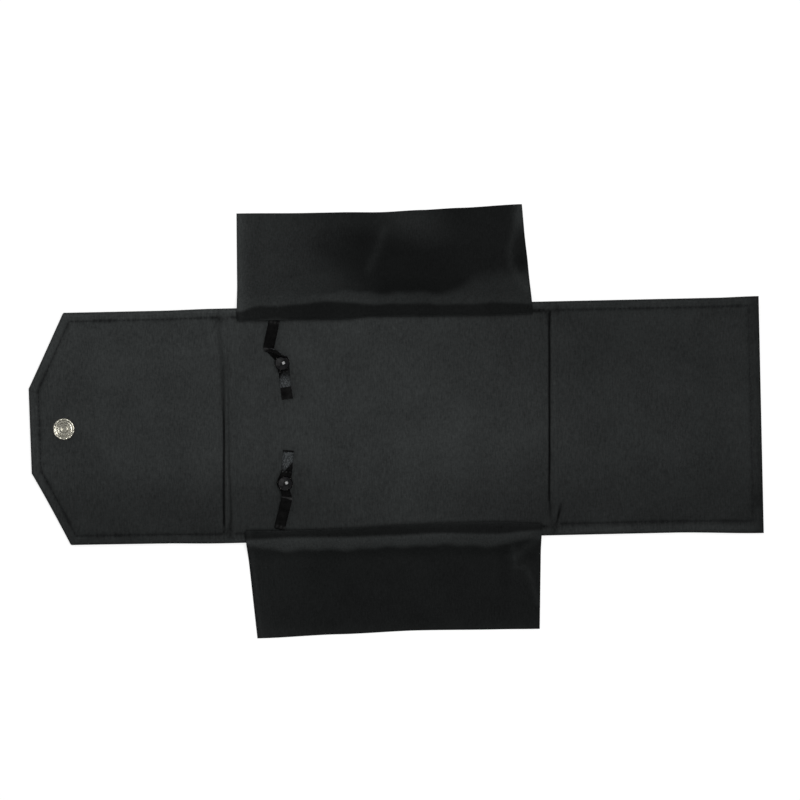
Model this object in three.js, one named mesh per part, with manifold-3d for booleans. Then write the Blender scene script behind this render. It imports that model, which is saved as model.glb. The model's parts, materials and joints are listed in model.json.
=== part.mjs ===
// Necklace folder, lying open with its lining up: three stiff panels in a row, a soft flap on each
// long side of the centre panel, and two ribbon straps that snap shut round a chain.
// Millimetres. +Z is up, +X points to the front panel and +Y to the upper side flap.

import * as THREE from "three";
import { mergeVertices } from "three/addons/utils/BufferGeometryUtils.js";
import Module from "manifold-3d";

const wasm = await Module();
wasm.setup();

// Panels, measured crease to crease along X
const panelDepth = 150;
const closingLength = 119.7;
const leftSpineWidth = 9;
const centreLength = 200.2;
const rightSpineWidth = 8;
const cornerRadius = 1.5;
const tipWidth = 54.4;
const tipChamferLength = 22.4;

// Cloth and board
const coverThickness = 0.6;
const boardThickness = 1.6;
const liningThickness = 0.5;
const hemWidth = 8;
const creaseHem = 2.3;
const hemSlopeRun = 1.3;
const seamInset = 6;
const clothGap = 0.3;

// Side flaps, two layers of lining cloth sewn to the centre panel and rolled softly at the seam
const flapLayer = 0.35;
const flapPocket = 0.3;
const flapReach = 66.8;
const flapHeadroom = 1.1;
const rollStand = 1.8;
const rollCrestRun = 7;
const rollRun = 23;
const seamLap = 0.6;
const upperFlapEnds = { baseLeft: 4.5, baseRight: 9.4, edgeLeft: 5.2, edgeRight: 13.2 };
const lowerFlapEnds = { baseLeft: 6.3, baseRight: 5.6, edgeLeft: 12.7, edgeRight: 7.6 };

// Press snap that closes the folder: cap and post, socket, stud and eyelet
const snapStand = 2.4;
const snapInset = 20.5;
const studInset = 29.1;
const snapMetal = 0.4;
const capRadius = 7.2;
const capLip = 1.1;
const capEdge = 0.55;
const postRadius = 1.6;
const postBore = 1.1;
const postRoll = 0.6;
const socketRadius = 7;
const socketRoll = 0.8;
const wellRadius = 4.2;
const wellWall = 0.5;
const wellDrop = 0.4;
const wellRise = 1.05;
const grooveRise = 0.4;
const studFlangeRadius = 5.9;
const studHeadRadius = 3.9;
const studNeckRadius = 3.6;
const studHeadHeight = 0.8;
const studBore = 3;
const studWeb = 0.7;
const eyeletRadius = 2;
const eyeletBore = 1.5;
const eyeletFlangeRadius = 4.6;
const eyeletRoll = 0.5;
const counterboreDepth = 0.5;
const metalGap = 0.3;

// Ribbon straps: a tab that lies on the lining and a band that snaps down on it
const ribbonWidth = 7;
const ribbonThickness = 0.5;
const ribbonHem = 5;
const seamTuck = 0.2;
const seamTrim = 1;
const loopHeight = 2.9;
const loopRun = 1.4;
const bowRun = 2.8;
const bowCurl = 1.7;
const dropRun = 1;
const tailRun = 3;
const bandLip = 0.4;
const ribbonStep = 2;
const upperStrap = {
  side: 1, seamX: 26.7, capX: 32.5, capReach: 28.2, tailX: 35.2, tailReach: 50, sway: -6.6,
};
const lowerStrap = {
  side: -1, seamX: 27.6, capX: 32.8, capReach: 29.4, tailX: 35.1, tailReach: 50.5, sway: -0.8,
};
const swayShares = [0.36, 0.62];
const swaySizeShares = [0.55, 1];
const tailTurnShare = 0.45;

// Pearl snaps on the straps
const pearlRadius = 4.35;
const pearlHeight = 2.9;
const bezelRadius = 4.9;
const bezelPlate = 0.3;
const clawCount = 6;
const clawHeight = 1.35;
const clawWidth = 0.9;
const clawThickness = 0.4;
const clawLean = 0.25;
const pinRadius = 0.9;
const strapSocketRadius = 3.9;
const strapSocketHeight = 1.4;
const strapSocketBore = 2.2;
const strapPlate = 0.4;
const strapStudRadius = 3.8;
const strapStudHead = 1.9;
const strapStudNeck = 1.65;
const rivetRadius = 3.4;
const edgeRound = 0.3;

// Faces on round pieces and steps on curves
const snapSegments = 36;
const strapSegments = 24;
const cornerSteps = 4;
const turnedSteps = 3;
const curveSteps = 8;
const drillOverrun = 1;

// Places along X. The front panel is as long as its stud needs to meet the socket of the closed folder.
const frontLength = centreLength - (closingLength - snapInset) + studInset;
const totalLength = closingLength + leftSpineWidth + centreLength + rightSpineWidth + frontLength;
const tipX = -totalLength / 2;
const closingCreaseX = tipX + closingLength;
const centreLeftX = closingCreaseX + leftSpineWidth;
const centreRightX = centreLeftX + centreLength;
const frontCreaseX = centreRightX + rightSpineWidth;
const frontEdgeX = frontCreaseX + frontLength;
const panelHalf = panelDepth / 2;

// Heights of the panel's layers: cap and stud stand on the table, and the covers lie level above it
const coverBottom = snapStand;
const boardBottom = coverBottom + coverThickness;
const boardTop = boardBottom + boardThickness;
const liningTop = boardTop + liningThickness;
const hemTop = boardBottom + liningThickness;

// Heights of the strap's layers at the snap, from the lining up
const rivetBottom = liningTop + clothGap;
const tabAtSnap = rivetBottom + strapPlate;
const studBottom = tabAtSnap + ribbonThickness;
const studFlangeTop = studBottom + strapPlate;
const socketBottom = studFlangeTop + metalGap;
const bandAtSnap = socketBottom + strapSocketHeight;
const bezelBottom = bandAtSnap + ribbonThickness;
const pearlBottom = bezelBottom + bezelPlate;
const strapTop = pearlBottom + pearlHeight;
const tabLow = liningTop + clothGap;
const bandLow = tabLow + ribbonThickness + clothGap;
const bandCrest = tabLow + ribbonThickness + loopHeight;

// Side flap hinge: folded over, a flap passes above the pearl caps
const flapThickness = 2 * flapLayer + flapPocket;
const flapHingeY = panelHalf - seamInset;
const flapHingeZ = (strapTop + flapHeadroom + flapThickness) / 2;

// Socket and stud, and the crease heights that let the outer panels close over the side flaps
const socketX = tipX + snapInset;
const studX = frontEdgeX - studInset;
const frontCreaseZ = (2 * flapHingeZ + clothGap + liningTop - rightSpineWidth) / 2;
const panelThickness = liningTop - coverBottom;
const closedFrontTop = 2 * flapHingeZ + clothGap + panelThickness;
const closingCreaseZ = (closedFrontTop + snapStand + liningTop - leftSpineWidth) / 2;

// The axes that the folder folds on, for whoever poses it
export const foldAxes = {
  leftSpine: { x: centreLeftX, z: closingCreaseZ },
  closingFlap: { x: closingCreaseX, z: closingCreaseZ },
  rightSpine: { x: centreRightX, z: frontCreaseZ },
  frontPanel: { x: frontCreaseX, z: frontCreaseZ },
  sideFlap: { y: flapHingeY, z: flapHingeZ },
  strap: { y: panelHalf - hemWidth + seamTuck, z: (tabLow + bandLow + ribbonThickness) / 2 },
};

// Finishes
const coverCloth = { color: 0x1b1b1d, roughness: 0.85, metalness: 0 };
const liningSatin = { color: 0x2a2a2c, roughness: 0.5, metalness: 0 };
const flapSatin = { color: 0x1f2021, roughness: 0.45, metalness: 0 };
const greyBoard = { color: 0x8d8a84, roughness: 0.95, metalness: 0 };
const nickel = { color: 0xc9c7c0, roughness: 0.25, metalness: 1 };
const velvetRibbon = { color: 0x0e0e0f, roughness: 0.9, metalness: 0 };
const blackPearl = { color: 0x0a0a0b, roughness: 0.08, metalness: 0.2 };

const folder = new THREE.Group();
folder.name = "necklace_folder";

// Adds one named piece to the folder.
function addPiece(name, geometry, finish) {
  const mesh = new THREE.Mesh(geometry, new THREE.MeshStandardMaterial(finish));
  mesh.name = name;
  folder.add(mesh);
  return mesh;
}

// Returns the geometry with all its faces pointing out, judged by the sign of its volume.
function facingOut(source) {
  const geometry = source.index ? source.toNonIndexed() : source;
  const position = geometry.getAttribute("position");
  const corner = [new THREE.Vector3(), new THREE.Vector3(), new THREE.Vector3()];
  let volume = 0;
  for (let i = 0; i < position.count; i += 3) {
    corner.forEach((point, k) => point.fromBufferAttribute(position, i + k));
    volume += corner[0].dot(corner[1].cross(corner[2]));
  }
  if (volume < 0) {
    for (let i = 0; i < position.count; i += 3) {
      corner[1].fromBufferAttribute(position, i + 1);
      corner[2].fromBufferAttribute(position, i + 2);
      position.setXYZ(i + 1, corner[2].x, corner[2].y, corner[2].z);
      position.setXYZ(i + 2, corner[1].x, corner[1].y, corner[1].z);
    }
  }
  geometry.deleteAttribute("normal");
  geometry.deleteAttribute("uv");
  geometry.computeVertexNormals();
  return geometry;
}

// A closed skin over a row of loops that have as many points each, with a flat fan over both ends.
function loftGeometry(loops) {
  const count = loops[0].length;
  const points = loops.flat();
  const index = [];
  for (let k = 0; k + 1 < loops.length; k += 1) {
    for (let i = 0; i < count; i += 1) {
      const next = (i + 1) % count;
      const low = k * count;
      const high = low + count;
      index.push(low + i, low + next, high + next, low + i, high + next, high + i);
    }
  }
  for (const start of [0, (loops.length - 1) * count]) {
    const hub = points.length;
    const ring = points.slice(start, start + count);
    points.push(ring.reduce((sum, point) => sum.add(point), new THREE.Vector3()).divideScalar(count));
    for (let i = 0; i < count; i += 1) {
      const next = (i + 1) % count;
      index.push(...(start ? [hub, start + i, start + next] : [hub, start + next, start + i]));
    }
  }
  const geometry = new THREE.BufferGeometry().setFromPoints(points);
  geometry.setIndex(index);
  return facingOut(geometry);
}

// A profile in radius and height turned about the Z axis through (x, y).
function latheGeometry(profile, segments, x, y) {
  const geometry = new THREE.LatheGeometry(profile.getPoints(turnedSteps), segments);
  geometry.rotateX(Math.PI / 2);
  geometry.translate(x, y, 0);
  return facingOut(geometry);
}

function solidOf(geometry) {
  const bare = geometry.clone();
  bare.deleteAttribute("normal");
  bare.deleteAttribute("uv");
  const merged = mergeVertices(bare);
  return new wasm.Manifold(new wasm.Mesh({
    numProp: 3,
    vertProperties: merged.getAttribute("position").array,
    triVerts: new Uint32Array(merged.index.array),
  }));
}

function geometryOf(solid) {
  const mesh = solid.getMesh();
  const geometry = new THREE.BufferGeometry();
  geometry.setAttribute("position", new THREE.BufferAttribute(mesh.vertProperties, 3));
  geometry.setIndex(new THREE.BufferAttribute(mesh.triVerts, 1));
  return facingOut(geometry);
}

function cut(geometry, ...cutters) {
  return geometryOf(cutters.reduce((solid, cutter) => solid.subtract(solidOf(cutter)), solidOf(geometry)));
}

function join(geometry, ...others) {
  return geometryOf(others.reduce((solid, other) => solid.add(solidOf(other)), solidOf(geometry)));
}

// A round cutter that stands on the point (x, y) between two heights and runs past both.
function drill(radius, low, high, x, y, segments) {
  const length = high - low + 2 * drillOverrun;
  const geometry = new THREE.CylinderGeometry(radius, radius, length, segments);
  geometry.rotateX(Math.PI / 2);
  geometry.translate(x, y, (low + high) / 2);
  return facingOut(geometry);
}

// Corners of an outline after each edge, from corner i to the next, has moved in by its own inset.
function insetCorners(corners, insets) {
  const count = corners.length;
  const edges = corners.map((from, i) => {
    const along = corners[(i + 1) % count].clone().sub(from).normalize();
    const inward = new THREE.Vector2(-along.y, along.x);
    return { point: from.clone().addScaledVector(inward, insets[i]), along };
  });
  return edges.map((edge, i) => {
    const before = edges[(i + count - 1) % count];
    const gap = edge.point.clone().sub(before.point);
    const reach = gap.cross(edge.along) / before.along.cross(edge.along);
    return before.point.clone().addScaledVector(before.along, reach);
  });
}

// An outline with each corner drawn as a round of the given radius.
function roundedLoop(corners, radius) {
  const count = corners.length;
  return corners.flatMap((corner, i) => {
    const back = corners[(i + count - 1) % count].clone().sub(corner).normalize();
    const ahead = corners[(i + 1) % count].clone().sub(corner).normalize();
    const tangent = radius / Math.tan(back.angleTo(ahead) / 2);
    const round = new THREE.QuadraticBezierCurve(
      corner.clone().addScaledVector(back, tangent),
      corner,
      corner.clone().addScaledVector(ahead, tangent),
    );
    return round.getPoints(cornerSteps);
  });
}

function plateGeometry(loop, low, thickness) {
  const geometry = new THREE.ExtrudeGeometry(new THREE.Shape(loop), {
    depth: thickness, bevelEnabled: false,
  });
  geometry.translate(0, 0, low);
  return facingOut(geometry);
}

// Lining cloth: it lies on the hem, climbs the edge of the board and lies flat on the board.
function liningGeometry(corners, hems) {
  const loopAt = (inset, z) => {
    const insets = hems.map((hem) => Math.max(hem + inset, 0));
    const loop = roundedLoop(insetCorners(corners, insets), cornerRadius);
    return loop.map((point) => new THREE.Vector3(point.x, point.y, z));
  };
  const edge = roundedLoop(corners, cornerRadius);
  const edgeAt = (z) => edge.map((point) => new THREE.Vector3(point.x, point.y, z));
  const lean = liningThickness / 2;
  return loftGeometry([
    loopAt(-clothGap, boardTop),
    loopAt(-clothGap - hemSlopeRun, boardBottom),
    edgeAt(boardBottom),
    edgeAt(hemTop),
    loopAt(-clothGap - hemSlopeRun - lean, hemTop),
    loopAt(lean - clothGap, liningTop),
  ]);
}

// One stiff panel: outer cover, board and lining, with a clearance hole or step for each fitting.
function addPanel(name, corners, hems, fittings) {
  const cover = plateGeometry(roundedLoop(corners, cornerRadius), coverBottom, coverThickness);
  const boardLoop = roundedLoop(insetCorners(corners, hems), cornerRadius);
  const board = plateGeometry(boardLoop, boardBottom, boardThickness);
  const lining = liningGeometry(corners, hems);
  addPiece(name + "_cover", fittings.cover ? cut(cover, ...fittings.cover) : cover, coverCloth);
  addPiece(name + "_board", fittings.board ? cut(board, ...fittings.board) : board, greyBoard);
  addPiece(name + "_lining", fittings.lining ? cut(lining, ...fittings.lining) : lining, liningSatin);
}

function rectangleCorners(left, right) {
  return [
    new THREE.Vector2(left, -panelHalf),
    new THREE.Vector2(right, -panelHalf),
    new THREE.Vector2(right, panelHalf),
    new THREE.Vector2(left, panelHalf),
  ];
}

function addCentrePanel() {
  const corners = rectangleCorners(centreLeftX + clothGap / 2, centreRightX - clothGap / 2);
  addPanel("centre", corners, [hemWidth, creaseHem, hemWidth, creaseHem], {});
}

// The closing flap has a chamfered tip, and a well for the socket and its post.
function addClosingPanel() {
  const crease = closingCreaseX - clothGap / 2;
  const shoulder = tipX + tipChamferLength;
  const corners = [
    new THREE.Vector2(tipX, -tipWidth / 2),
    new THREE.Vector2(shoulder, -panelHalf),
    new THREE.Vector2(crease, -panelHalf),
    new THREE.Vector2(crease, panelHalf),
    new THREE.Vector2(shoulder, panelHalf),
    new THREE.Vector2(tipX, tipWidth / 2),
  ];
  const hems = [hemWidth, hemWidth, creaseHem, hemWidth, hemWidth, hemWidth];
  const wellClear = wellRadius + wellWall + metalGap;
  addPanel("closing", corners, hems, {
    cover: [drill(postRadius + metalGap, coverBottom, boardBottom, socketX, 0, snapSegments)],
    board: [drill(wellClear, boardBottom, boardTop, socketX, 0, snapSegments)],
    lining: [drill(wellClear, boardTop, liningTop, socketX, 0, snapSegments)],
  });
}

// The front panel hides the eyelet of the stud under its lining, in a step cut into the board.
function addFrontPanel() {
  const corners = rectangleCorners(frontCreaseX + clothGap / 2, frontEdgeX);
  const tubeClear = eyeletRadius + metalGap;
  const stepClear = eyeletFlangeRadius + metalGap;
  const stepLow = boardTop - counterboreDepth + drillOverrun;
  addPanel("front", corners, [hemWidth, hemWidth, hemWidth, creaseHem], {
    cover: [drill(tubeClear, coverBottom, boardBottom, studX, 0, snapSegments)],
    board: [
      drill(tubeClear, boardBottom, boardTop, studX, 0, snapSegments),
      drill(stepClear, stepLow, boardTop + drillOverrun, studX, 0, snapSegments),
    ],
  });
}

// A spine is the cloth between two creases, cover below and lining above, with no board.
function addSpine(name, left, right) {
  const corners = rectangleCorners(left + clothGap / 2, right - clothGap / 2);
  addPiece(name + "_cover", plateGeometry(corners, coverBottom, coverThickness), coverCloth);
  addPiece(name + "_lining", plateGeometry(corners, boardBottom, liningThickness), liningSatin);
}

// Stations along a path in distance and height: its points, and the way it faces at each.
function stationsAlong(path, lineStep) {
  const stations = [];
  for (const curve of path.curves) {
    const steps = curve.isLineCurve ? Math.ceil(curve.getLength() / lineStep) : curveSteps;
    for (let i = stations.length ? 1 : 0; i <= steps; i += 1) {
      const point = curve.getPoint(i / steps);
      const tangent = curve.getTangent(i / steps);
      stations.push({ distance: point.x, height: point.y, tangent });
    }
  }
  return stations;
}

// The middle line of a side flap: up from the seam, over the soft roll, down and flat on the table.
function flapProfile() {
  const startY = flapHingeY + seamLap;
  const startZ = hemTop + clothGap + flapThickness / 2;
  const crestY = flapHingeY + rollCrestRun;
  const crestZ = liningTop + rollStand - flapThickness / 2;
  const flatY = flapHingeY + rollRun;
  const flatZ = flapThickness / 2;
  const climb = crestZ - startZ;
  const fall = flatY - crestY;
  const path = new THREE.Path();
  path.moveTo(startY, startZ);
  path.bezierCurveTo(startY, startZ + climb / 2, crestY - rollCrestRun / 2, crestZ, crestY, crestZ);
  path.bezierCurveTo(crestY + fall / 3, crestZ, flatY - fall / 2, flatZ, flatY, flatZ);
  path.lineTo(flapHingeY + flapReach, flatZ);
  return path;
}

// One layer of a side flap: a band of the profile between two offsets from its middle line.
function flapLayerGeometry(side, ends, low, high) {
  const base = flapHingeY;
  const loops = stationsAlong(flapProfile(), flapReach).map(({ distance, height, tangent }) => {
    const share = (distance - base) / flapReach;
    const left = centreLeftX + THREE.MathUtils.lerp(ends.baseLeft, ends.edgeLeft, share);
    const right = centreRightX - THREE.MathUtils.lerp(ends.baseRight, ends.edgeRight, share);
    const at = (x, offset) => {
      const y = distance - tangent.y * offset;
      return new THREE.Vector3(x, side * y, height + tangent.x * offset);
    };
    return [at(left, low), at(right, low), at(right, high), at(left, high)];
  });
  return loftGeometry(loops);
}

function addSideFlap(name, side, ends) {
  const half = flapThickness / 2;
  const inner = flapPocket / 2;
  addPiece(name + "_flap_backing", flapLayerGeometry(side, ends, -half, -inner), flapSatin);
  addPiece(name + "_flap_face", flapLayerGeometry(side, ends, inner, half), flapSatin);
}

// Domed cap on the outside of the closing flap, with a hollow post rolled over inside the socket.
function snapCapProfile() {
  const floorTop = liningTop - wellDrop;
  const lipRadius = capRadius - capLip;
  const edgeZ = coverBottom - capEdge;
  const rollCentre = postRadius + postRoll - snapMetal / 2;
  const profile = new THREE.Path();
  profile.moveTo(0, 0);
  profile.bezierCurveTo(capRadius / 2, 0, capRadius, edgeZ / 3, capRadius, edgeZ);
  profile.quadraticCurveTo(capRadius, coverBottom, capRadius - capEdge, coverBottom);
  profile.lineTo(lipRadius, coverBottom);
  profile.bezierCurveTo(lipRadius, edgeZ / 2, capRadius / 2, snapMetal, postRadius, snapMetal);
  profile.lineTo(postRadius, floorTop);
  profile.lineTo(rollCentre, floorTop);
  profile.absarc(rollCentre, floorTop + postRoll, postRoll, -Math.PI / 2, Math.PI, false);
  profile.lineTo(postBore, floorTop + postRoll);
  profile.lineTo(postBore, boardBottom);
  profile.lineTo(0, boardBottom);
  return profile;
}

// Socket on the lining: a rolled rim, a groove, and a raised wall round the well.
function snapSocketProfile() {
  const floorTop = liningTop - wellDrop;
  const floorBottom = floorTop - snapMetal;
  const neckClear = postRadius + metalGap;
  const wallOuter = wellRadius + wellWall;
  const wallTop = liningTop + wellRise;
  const rimCentre = socketRadius - socketRoll;
  const grooveZ = liningTop + grooveRise;
  const rimEnd = Math.PI + Math.asin((socketRoll - grooveRise) / socketRoll);
  const profile = new THREE.Path();
  profile.moveTo(neckClear, floorBottom);
  profile.lineTo(wellRadius, floorBottom);
  profile.quadraticCurveTo(wallOuter, floorBottom, wallOuter, floorTop);
  profile.lineTo(wallOuter, liningTop);
  profile.lineTo(rimCentre, liningTop);
  profile.absarc(rimCentre, liningTop + socketRoll, socketRoll, -Math.PI / 2, rimEnd, false);
  profile.quadraticCurveTo(wallOuter, grooveZ, wallOuter, (grooveZ + wallTop) / 2);
  profile.lineTo(wallOuter, wallTop);
  profile.absarc(wellRadius + wellWall / 2, wallTop, wellWall / 2, 0, Math.PI, false);
  profile.lineTo(wellRadius, floorTop + edgeRound);
  profile.quadraticCurveTo(wellRadius, floorTop, wellRadius - edgeRound, floorTop);
  profile.lineTo(neckClear, floorTop);
  profile.lineTo(neckClear, floorBottom);
  return profile;
}

// Hollow stud under the front panel: it goes into the well and swallows the rolled post.
function snapStudProfile() {
  const flangeLow = coverBottom - snapMetal;
  const webLow = coverBottom - studWeb;
  const profile = new THREE.Path();
  profile.moveTo(studBore, edgeRound);
  profile.quadraticCurveTo(studBore, 0, studBore + edgeRound, 0);
  profile.lineTo(studHeadRadius - edgeRound, 0);
  profile.quadraticCurveTo(studHeadRadius, 0, studHeadRadius, studHeadHeight / 2);
  profile.quadraticCurveTo(studHeadRadius, studHeadHeight, studNeckRadius, studHeadHeight);
  profile.lineTo(studNeckRadius, flangeLow);
  profile.lineTo(studFlangeRadius - edgeRound, flangeLow);
  profile.quadraticCurveTo(studFlangeRadius, flangeLow, studFlangeRadius, coverBottom);
  profile.lineTo(eyeletRadius + metalGap, coverBottom);
  profile.lineTo(eyeletRadius + metalGap, webLow);
  profile.lineTo(studBore, webLow);
  profile.lineTo(studBore, edgeRound);
  return profile;
}

// Eyelet that clinches the stud: flange in the board's step, tube through, roll under the web.
function studEyeletProfile() {
  const flangeLow = boardTop - counterboreDepth;
  const flangeTop = flangeLow + snapMetal;
  const rollTop = coverBottom - studWeb;
  const rollLow = rollTop - eyeletRoll;
  const rollRadius = eyeletRadius + eyeletRoll;
  const profile = new THREE.Path();
  profile.moveTo(eyeletBore, flangeTop);
  profile.lineTo(eyeletBore, rollLow);
  profile.lineTo(eyeletRadius, rollLow);
  profile.quadraticCurveTo(rollRadius, rollLow, rollRadius, rollTop);
  profile.lineTo(eyeletRadius, rollTop);
  profile.lineTo(eyeletRadius, flangeLow);
  profile.lineTo(eyeletFlangeRadius, flangeLow);
  profile.lineTo(eyeletFlangeRadius, flangeTop);
  profile.lineTo(eyeletBore, flangeTop);
  return profile;
}

function addPressSnap() {
  addPiece("snap_cap", latheGeometry(snapCapProfile(), snapSegments, socketX, 0), nickel);
  addPiece("snap_socket", latheGeometry(snapSocketProfile(), snapSegments, socketX, 0), nickel);
  addPiece("snap_stud", latheGeometry(snapStudProfile(), snapSegments, studX, 0), nickel);
  addPiece("stud_eyelet", latheGeometry(studEyeletProfile(), snapSegments, studX, 0), nickel);
}

// The way a strap runs in plan, from the seam to its tail, as across and along distances.
function strapCourse(strap) {
  const sways = swayShares.map((share, i) => {
    const across = THREE.MathUtils.lerp(strap.seamX, strap.capX, share);
    return new THREE.Vector2(across + strap.sway * swaySizeShares[i], share * strap.capReach);
  });
  const turn = THREE.MathUtils.lerp(strap.capReach, strap.tailReach, tailTurnShare);
  return new THREE.SplineCurve([
    new THREE.Vector2(strap.seamX, -seamTrim),
    ...sways,
    new THREE.Vector2(strap.capX, strap.capReach),
    new THREE.Vector2(THREE.MathUtils.lerp(strap.capX, strap.tailX, tailTurnShare), turn),
    new THREE.Vector2(strap.tailX, strap.tailReach),
  ]);
}

// How far along its course a strap carries its snap: the fourth of the course's points.
function snapDistance(course) {
  const parts = course.points.length - 1;
  const lengths = course.getLengths(parts * curveSteps);
  return lengths[(swayShares.length + 1) * curveSteps];
}

// A ribbon swept along a course in plan and a profile in height, with its own hem and pin hole.
function ribbonGeometry(strap, course, profile, hemStart) {
  const total = course.getLength();
  const loops = stationsAlong(profile, ribbonStep).map(({ distance, height, tangent }) => {
    const share = Math.min(distance / total, 1);
    const place = course.getPointAt(share);
    const way = course.getTangentAt(share);
    const thickness = distance > hemStart ? 2 * ribbonThickness : ribbonThickness;
    const at = (across, up) => new THREE.Vector3(
      centreLeftX + place.x - way.y * across - way.x * tangent.y * up,
      strap.side * (foldAxes.strap.y - place.y - way.x * across + way.y * tangent.y * up),
      height + tangent.x * up,
    );
    const half = ribbonWidth / 2;
    return [at(-half, 0), at(half, 0), at(half, thickness), at(-half, thickness)];
  });
  return loftGeometry(loops);
}

// The tab lies on the lining, lifts a little under the snap and ends in a turned hem.
function tabProfile(course) {
  const snap = snapDistance(course);
  const flat = bezelRadius + bandLip;
  const hemStart = course.getLength() - ribbonHem;
  const profile = new THREE.Path();
  profile.moveTo(0, tabLow);
  profile.lineTo(snap - flat - tailRun, tabLow);
  profile.bezierCurveTo(
    snap - flat - tailRun / 2, tabLow, snap - flat - tailRun / 2, tabAtSnap, snap - flat, tabAtSnap);
  profile.lineTo(snap + flat, tabAtSnap);
  profile.bezierCurveTo(
    snap + flat + tailRun / 2, tabAtSnap, snap + flat + tailRun / 2, tabLow, snap + flat + tailRun, tabLow);
  profile.lineTo(hemStart, tabLow);
  profile.lineTo(hemStart + ribbonThickness, tabLow);
  profile.lineTo(course.getLength(), tabLow);
  return profile;
}

// The band lies on the tab, bows up over the chain's loop and comes down flat under the pearl cap.
function bandProfile(course) {
  const snap = snapDistance(course);
  const flat = bezelRadius + bandLip;
  const crestEnd = snap - flat - dropRun;
  const crestStart = crestEnd - loopRun;
  const bowStart = crestStart - bowRun;
  const profile = new THREE.Path();
  profile.moveTo(0, bandLow);
  profile.lineTo(bowStart, bandLow);
  profile.bezierCurveTo(
    bowStart + bowCurl, bandLow, crestStart - bowCurl, bandCrest, crestStart, bandCrest);
  profile.lineTo(crestEnd, bandCrest);
  profile.bezierCurveTo(
    crestEnd + dropRun / 2, bandCrest, snap - flat - dropRun / 2, bandAtSnap, snap - flat, bandAtSnap);
  profile.lineTo(snap + flat, bandAtSnap);
  return profile;
}

// Stud on the tab: a flange, a neck and a rounded head, hollow for the rivet's pin.
function strapStudProfile() {
  const headTop = bandAtSnap - strapPlate - metalGap;
  const bore = pinRadius + metalGap;
  const profile = new THREE.Path();
  profile.moveTo(0, headTop - metalGap);
  profile.lineTo(bore, headTop - metalGap);
  profile.lineTo(bore, studBottom);
  profile.lineTo(strapStudRadius, studBottom);
  profile.quadraticCurveTo(strapStudRadius, studFlangeTop, strapStudRadius - edgeRound, studFlangeTop);
  profile.lineTo(strapStudNeck, studFlangeTop);
  profile.quadraticCurveTo(strapStudHead, (studFlangeTop + headTop) / 2, strapStudHead, headTop - edgeRound);
  profile.quadraticCurveTo(strapStudHead, headTop, strapStudHead - edgeRound, headTop);
  profile.lineTo(0, headTop);
  return profile;
}

function rivetProfile() {
  const pinTop = bandAtSnap - strapPlate - 3 * metalGap;
  const profile = new THREE.Path();
  profile.moveTo(0, rivetBottom);
  profile.lineTo(rivetRadius - edgeRound, rivetBottom);
  profile.quadraticCurveTo(rivetRadius, rivetBottom, rivetRadius, tabAtSnap);
  profile.lineTo(pinRadius, tabAtSnap);
  profile.lineTo(pinRadius, pinTop);
  profile.lineTo(0, pinTop);
  return profile;
}

function strapSocketProfile() {
  const plateLow = bandAtSnap - strapPlate;
  const bore = pinRadius + metalGap;
  const profile = new THREE.Path();
  profile.moveTo(strapSocketBore, socketBottom);
  profile.lineTo(strapSocketRadius - edgeRound, socketBottom);
  profile.quadraticCurveTo(strapSocketRadius, socketBottom, strapSocketRadius, socketBottom + edgeRound);
  profile.lineTo(strapSocketRadius, bandAtSnap);
  profile.lineTo(bore, bandAtSnap);
  profile.lineTo(bore, plateLow);
  profile.lineTo(strapSocketBore, plateLow);
  profile.lineTo(strapSocketBore, socketBottom);
  return profile;
}

function bezelPlateProfile() {
  const bore = pinRadius + metalGap;
  const profile = new THREE.Path();
  profile.moveTo(bore, bezelBottom);
  profile.lineTo(bezelRadius - edgeRound, bezelBottom);
  profile.quadraticCurveTo(bezelRadius, bezelBottom, bezelRadius, pearlBottom);
  profile.lineTo(bore, pearlBottom);
  profile.lineTo(bore, bezelBottom);
  return profile;
}

// One claw of a bezel, drawn in radius and height, leaning in over the foot of the pearl.
function clawGeometry(turn, x, y) {
  const outer = bezelRadius - edgeRound / 2;
  const inner = outer - clawThickness;
  const shape = new THREE.Shape();
  shape.moveTo(inner, -bezelPlate / 2);
  shape.lineTo(outer, -bezelPlate / 2);
  shape.lineTo(outer, clawHeight / 2);
  shape.quadraticCurveTo(outer, clawHeight, inner, clawHeight);
  shape.lineTo(inner - clawLean, clawHeight - clawLean);
  shape.lineTo(inner, clawHeight / 2);
  const geometry = new THREE.ExtrudeGeometry(shape, {
    depth: clawWidth, bevelEnabled: false, curveSegments: cornerSteps,
  });
  geometry.translate(0, 0, -clawWidth / 2);
  geometry.rotateX(Math.PI / 2);
  geometry.rotateZ(turn);
  geometry.translate(x, y, pearlBottom);
  return facingOut(geometry);
}

function pearlProfile() {
  const pinLow = bandAtSnap - strapPlate + strapPlate / 4;
  const profile = new THREE.Path();
  profile.moveTo(0, pinLow);
  profile.lineTo(pinRadius, pinLow);
  profile.lineTo(pinRadius, pearlBottom);
  profile.lineTo(pearlRadius, pearlBottom);
  profile.absellipse(0, pearlBottom, pearlRadius, pearlHeight, 0, Math.PI / 2, false, 0);
  return profile;
}

// A block past the seam line, which trims a ribbon's end square to the seam it is sewn into.
function seamTrimmer(strap) {
  const deep = 2 * (seamTrim + drillOverrun);
  const geometry = new THREE.BoxGeometry(2 * ribbonWidth, deep, 2 * (bandLow + ribbonWidth));
  const x = centreLeftX + strap.seamX;
  geometry.translate(x, strap.side * (foldAxes.strap.y + deep / 2), 0);
  return facingOut(geometry);
}

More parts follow.
